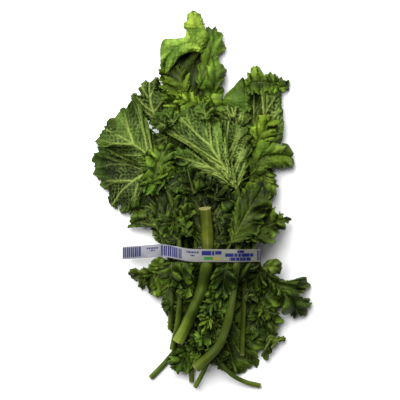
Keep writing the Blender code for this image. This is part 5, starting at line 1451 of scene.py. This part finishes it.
def band(line):
    """A strip of the tie's width carried along a line in X and Z, as a closed sheet of paper's thickness:
    its edges curl in a little, and it buckles slightly on its way. It is printed where it faces up."""
    step = np.gradient(line, axis=0)
    step = step / np.linalg.norm(step, axis=1)[:, None]
    outward = np.stack([-step[:, 1], step[:, 0]], axis=1)
    across = np.linspace(-1, 1, TIE_COLUMNS)
    run = np.concatenate([[0.0], np.cumsum(np.linalg.norm(np.diff(line, axis=0), axis=1))])
    skew, buckle = (high * np.sin(run / length)[:, None] for high, length in (TIE_SKEW, TIE_BUCKLE))
    height = TIE_PROUD - TIE_CURL * np.abs(across) ** 3 + (skew * across + buckle)
    middle = tie_middle(line[:, 0])
    layers = []
    for depth in (0.0, -TIE_PAPER):
        place = line[:, None] + outward[:, None] * (height + depth)[..., None]
        place[..., 1] = above_board(place[..., 1])
        y = middle[:, None] + across * TIE_WIDTH * 0.5
        layers.append(np.stack([place[..., 0], y, place[..., 1]], axis=-1))
    top, bottom, rim = sheet_faces(len(line) - 1, len(across) - 1)
    quads = np.concatenate([top, bottom, rim])
    place_x = np.repeat(line[:, 0], len(across))
    place_t = np.tile(across * TIE_WIDTH * 0.5, len(line))
    facing = np.repeat(smooth(outward[:, 1], -0.3, 0.0), len(across))
    values = {name: np.concatenate([ink * facing, np.zeros(len(place_x))])
              for name, ink in printed(place_x, place_t).items()}
    uv = np.stack([np.repeat(run, len(across)), place_t], axis=1)
    return dict(
        points=np.concatenate([layer.reshape(-1, 3) for layer in layers]),
        quads=quads,
        triangles=np.zeros((0, 3), int),
        kinds=np.zeros(len(quads), int),
        end_kinds=np.zeros(0, int),
        uv=np.tile(uv, (2, 1)) * MM,
        values=values,
    )


# The print on the tie: upright bars by X, and, as (from, to, under, over), rows of dashes, rows of broken
# blocks, a green and a yellow block. The last stretch along X is where painted shade darkens the paper.
BARS = ((-77.5, -59.5), (-38.0, -18.0), (56.4, 60.4))
BAR_ENDS = (-4.9, 5.1)
DASHES = ((-53.5, -41.7, 2.0, 3.6), (-50.3, -45.0, 0.0, 1.2), (-13.0, -0.6, 2.2, 4.0),
          (-9.7, -4.9, -0.7, 0.8))
BLOCKS = ((1.8, 14.3, 0.2, 4.8), (15.0, 21.4, 1.0, 4.6), (36.7, 43.4, 2.6, 5.2), (24.8, 53.0, -1.2, 2.3),
          (29.0, 50.0, -5.1, -1.8))
GREEN_BLOCK = (4.2, 13.0, -4.1, -1.2)
YELLOW_BLOCK = (13.6, 19.5, -4.0, -1.8)
SHADED_STRETCH = (-40.0, 20.0)
BAR_PITCH = 2.1
DASH_PITCH = 2.7
BLOCK_PITCHES = (1.7, 3.1)

# Between which two values of its wave the ink of a bar, a dash and a block sets in
BAR_INK = (-0.7, -0.3)
DASH_INK = (-0.9, -0.6)
BLOCK_INK = (-1.5, -1.2)


def within(x, low, high, soft=0.25):
    """1 between low and high, fading over a soft edge."""
    return smooth(x, low - soft, low + soft) * (1 - smooth(x, high - soft, high + soft))


def rectangle(x, t, low, high, under, over):
    """1 in a rectangle on the strip, from low to high along X and from under to over across it."""
    return within(x, low, high) * within(t, under, over)


def wave_of(x, pitch):
    """A sine of that pitch along X."""
    return np.sin(x * 2 * math.pi / pitch)


def printed(x, t):
    """How much painted shade darkens the paper, and how much of each ink it has, at X and at t across the
    strip: upright bars, short dashes and blocks of uneven length in blue, and two small blocks of other
    colours."""
    blue = np.zeros_like(x)
    for low, high in BARS:
        stripe = smooth(wave_of(x, BAR_PITCH), *BAR_INK)
        blue = np.maximum(blue, rectangle(x, t, low, high, *BAR_ENDS) * stripe)
    for row in DASHES:
        blue = np.maximum(blue, rectangle(x, t, *row) * smooth(wave_of(x, DASH_PITCH), *DASH_INK))
    for row in BLOCKS:
        close, wide = BLOCK_PITCHES
        uneven = wave_of(x, close) + 0.8 * np.sin(x * 2 * math.pi / wide + row[2])
        blue = np.maximum(blue, rectangle(x, t, *row) * smooth(uneven, *BLOCK_INK))
    return {
        # Painted shade, growing towards the tie's right end
        "painted_shade": smooth(x, *SHADED_STRETCH),
        "blue": blue,
        "green": rectangle(x, t, *GREEN_BLOCK),
        "yellow": rectangle(x, t, *YELLOW_BLOCK),
    }


def make_tie(points):
    """The paper strip round the bunch, and its free tail, which leaves from under the strip on the left
    and sinks a little towards its end."""
    ring = outline_round(points)
    upper = ring[:np.argmax(ring[:, 0])]
    share = np.linspace(0, 1, int((TAIL_ROOT - TAIL_END) / TIE_STEP))
    x = TAIL_END + (TAIL_ROOT - TAIL_END) * share
    root_height = np.interp(TAIL_ROOT, upper[:, 0], upper[:, 1])
    height = np.interp(x, upper[:, 0], upper[:, 1], left=root_height) - TAIL_UNDER_RING
    free = np.clip((TIE_SLANT_TO - x) / (TIE_SLANT_TO - TAIL_END), 0.0, 1.0)
    edge_height = np.interp(TIE_SLANT_TO, upper[:, 0], upper[:, 1])
    hung = edge_height - TAIL_UNDER_RING - TAIL_SINK * free * (1.6 - free)
    height = np.where(x < TIE_SLANT_TO, hung, height)
    for _ in range(TAIL_ROUNDS):
        height[1:-1] = (height[:-2] + height[1:-1] + height[2:]) / 3
    return joined([band(ring), band(np.stack([x, height], axis=1))])


# Each side's brighter margin colour, "edge", is partly the leaf's own paler green and partly painted light
# that shines through the thin edge
finishes = [
    leaf_side("mustard_leaf_upper_side", roughness=0.52, specular=0.10,
              cool=((0.0, "090f01"), (1.0, "86a43c"), (0.35, "1f3007"), (0.65, "405c16")),
              warm=((0.0, "141702"), (1.0, "a2b43a"), (0.35, "36400a"), (0.65, "64781a")),
              paler=(("edge", "66821e", 0.40), ("net", "587024", 0.45), ("vein", "84963c", 0.5))),
    leaf_side("mustard_leaf_underside", roughness=0.65, specular=0.08,
              cool=((0.0, "0e1602"), (1.0, "6e8a38"), (0.35, "21330a"), (0.65, "40581a")),
              warm=((0.0, "191c04"), (1.0, "88923f"), (0.35, "3c4412"), (0.65, "636f28")),
              paler=(("edge", "4c6a1c", 0.35), ("net", "6c843c", 0.70), ("vein", "8a9a4a", 0.95))),
    stalk_skin(),
]

heap = np.zeros(field_cells())
under_tie = np.abs(cell_middles() - TIE_Y - TIE_SLANT * 0.5) < TIE_WIDTH * 0.5 + TIE_SLANT
heap[:, under_tie] = UNDER_TIE
laid = []
for number, leaf in enumerate(LEAVES):
    parts = [make_stalk(leaf, leaf["look"], number)]
    forms = leaf["blades"] + leaf["lobes"]
    for place, (first, last, every, size, tone, warm) in enumerate(leaf.get("sprigs", ())):
        forms = forms + sprigs(leaf["stalk"], leaf["radii"][0], first, last, every, size,
                               number * SPRIG_SEEDS_A_LEAF + place, tone, warm)
    for place, form in enumerate(forms):
        parts.append(make_sheet(form, leaf["look"], number * SEEDS_A_LEAF + place))
    whole = joined(parts)
    raised, heap = lay(whole["points"], heap, LIMP if forms else STIFF)
    whole["points"][:, 2] += raised
    laid.append(whole)

for number, leaf in enumerate(LEAVES):
    for place, form in enumerate(leaf.get("over", ())):
        sheet = make_sheet(form, leaf["look"], number * SEEDS_A_LEAF + OVER_SEED + place)
        raised, heap = lay(sheet["points"], heap)
        sheet["points"][:, 2] += raised
        laid[number] = joined([laid[number], sheet])

crest = calmed(widened(heap, NEAR_CELLS), CREST_ROUNDS)
for leaf, whole in zip(LEAVES, laid):
    # Painted shade: the deeper a point lies under the heap's top, the darker its tone
    depth = read_field(heap, *whole["points"][:, :2].T) - whole["points"][:, 2]
    whole["values"]["tone"] = whole["values"]["tone"] - PAINTED_DEEP_SHADE * np.clip(depth / DEEP, 0.0, 1.0)
    whole["points"][:, 2] = pressed(whole["points"], crest)
    piece = fill_object(leaf["name"] + "_fine", whole, finishes)
    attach(piece, "root")
    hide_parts(leaf["name"])

tied = np.concatenate([whole["points"] for whole in laid])
tie_piece = fill_object("tie_fine", make_tie(tied), [tie_paper()])
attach(tie_piece, "root")
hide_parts("tie")

BOARD_HALF = 4.0
BOARD_BELOW = 0.0005
floor_mesh = bpy.data.meshes.new("studio_board")
floor_mesh.from_pydata([(x * BOARD_HALF, y * BOARD_HALF, -BOARD_BELOW)
                        for x, y in ((-1, -1), (1, -1), (1, 1), (-1, 1))], [], [(0, 1, 2, 3)])
floor = bpy.data.objects.new("studio_board", floor_mesh)
bpy.context.scene.collection.objects.link(floor)
board, _, board_shader = new_material("white_studio_board", 0.8, 0.2)
board_shader.inputs["Base Color"].default_value = linear("f7f7f7")
floor_mesh.materials.append(board)

ROOM_LIGHT = 0.15
world = bpy.data.worlds.new("studio")
world.use_nodes = True
world.node_tree.nodes["Background"].inputs["Color"].default_value = (1.0, 1.0, 1.0, 1.0)
world.node_tree.nodes["Background"].inputs["Strength"].default_value = ROOM_LIGHT
bpy.context.scene.world = world


def area_light(name, place, target, size, power):
    """A square soft light at place that faces target."""
    light = bpy.data.lights.new(name, "AREA")
    light.size = size
    light.energy = power
    thing = bpy.data.objects.new(name, light)
    thing.location = place
    direction = np.array(target) - np.array(place)
    thing.rotation_euler = Vector(direction).to_track_quat("-Z", "Y").to_euler()
    bpy.context.scene.collection.objects.link(thing)


area_light("key_light", place=(-0.5, 0.9, 1.5), target=(0.0, 0.05, 0.03), size=1.7, power=84.0)

# The camera looks straight down, and the picture is VIEW_WIDTH wide at half the bunch's height
CAMERA_HEIGHT = 2.2
HALF_HEIGHT = 0.03
VIEW_WIDTH = 0.4
SENSOR_WIDTH = 36.0
lens = bpy.data.cameras.new("view_from_above")
lens.sensor_width = SENSOR_WIDTH
lens.lens = SENSOR_WIDTH * (CAMERA_HEIGHT - HALF_HEIGHT) / VIEW_WIDTH
camera = bpy.data.objects.new("view_from_above", lens)
camera.location = (0.0, 0.0, CAMERA_HEIGHT)
bpy.context.scene.collection.objects.link(camera)
bpy.context.scene.camera = camera
bpy.context.scene.view_settings.view_transform = "Standard"
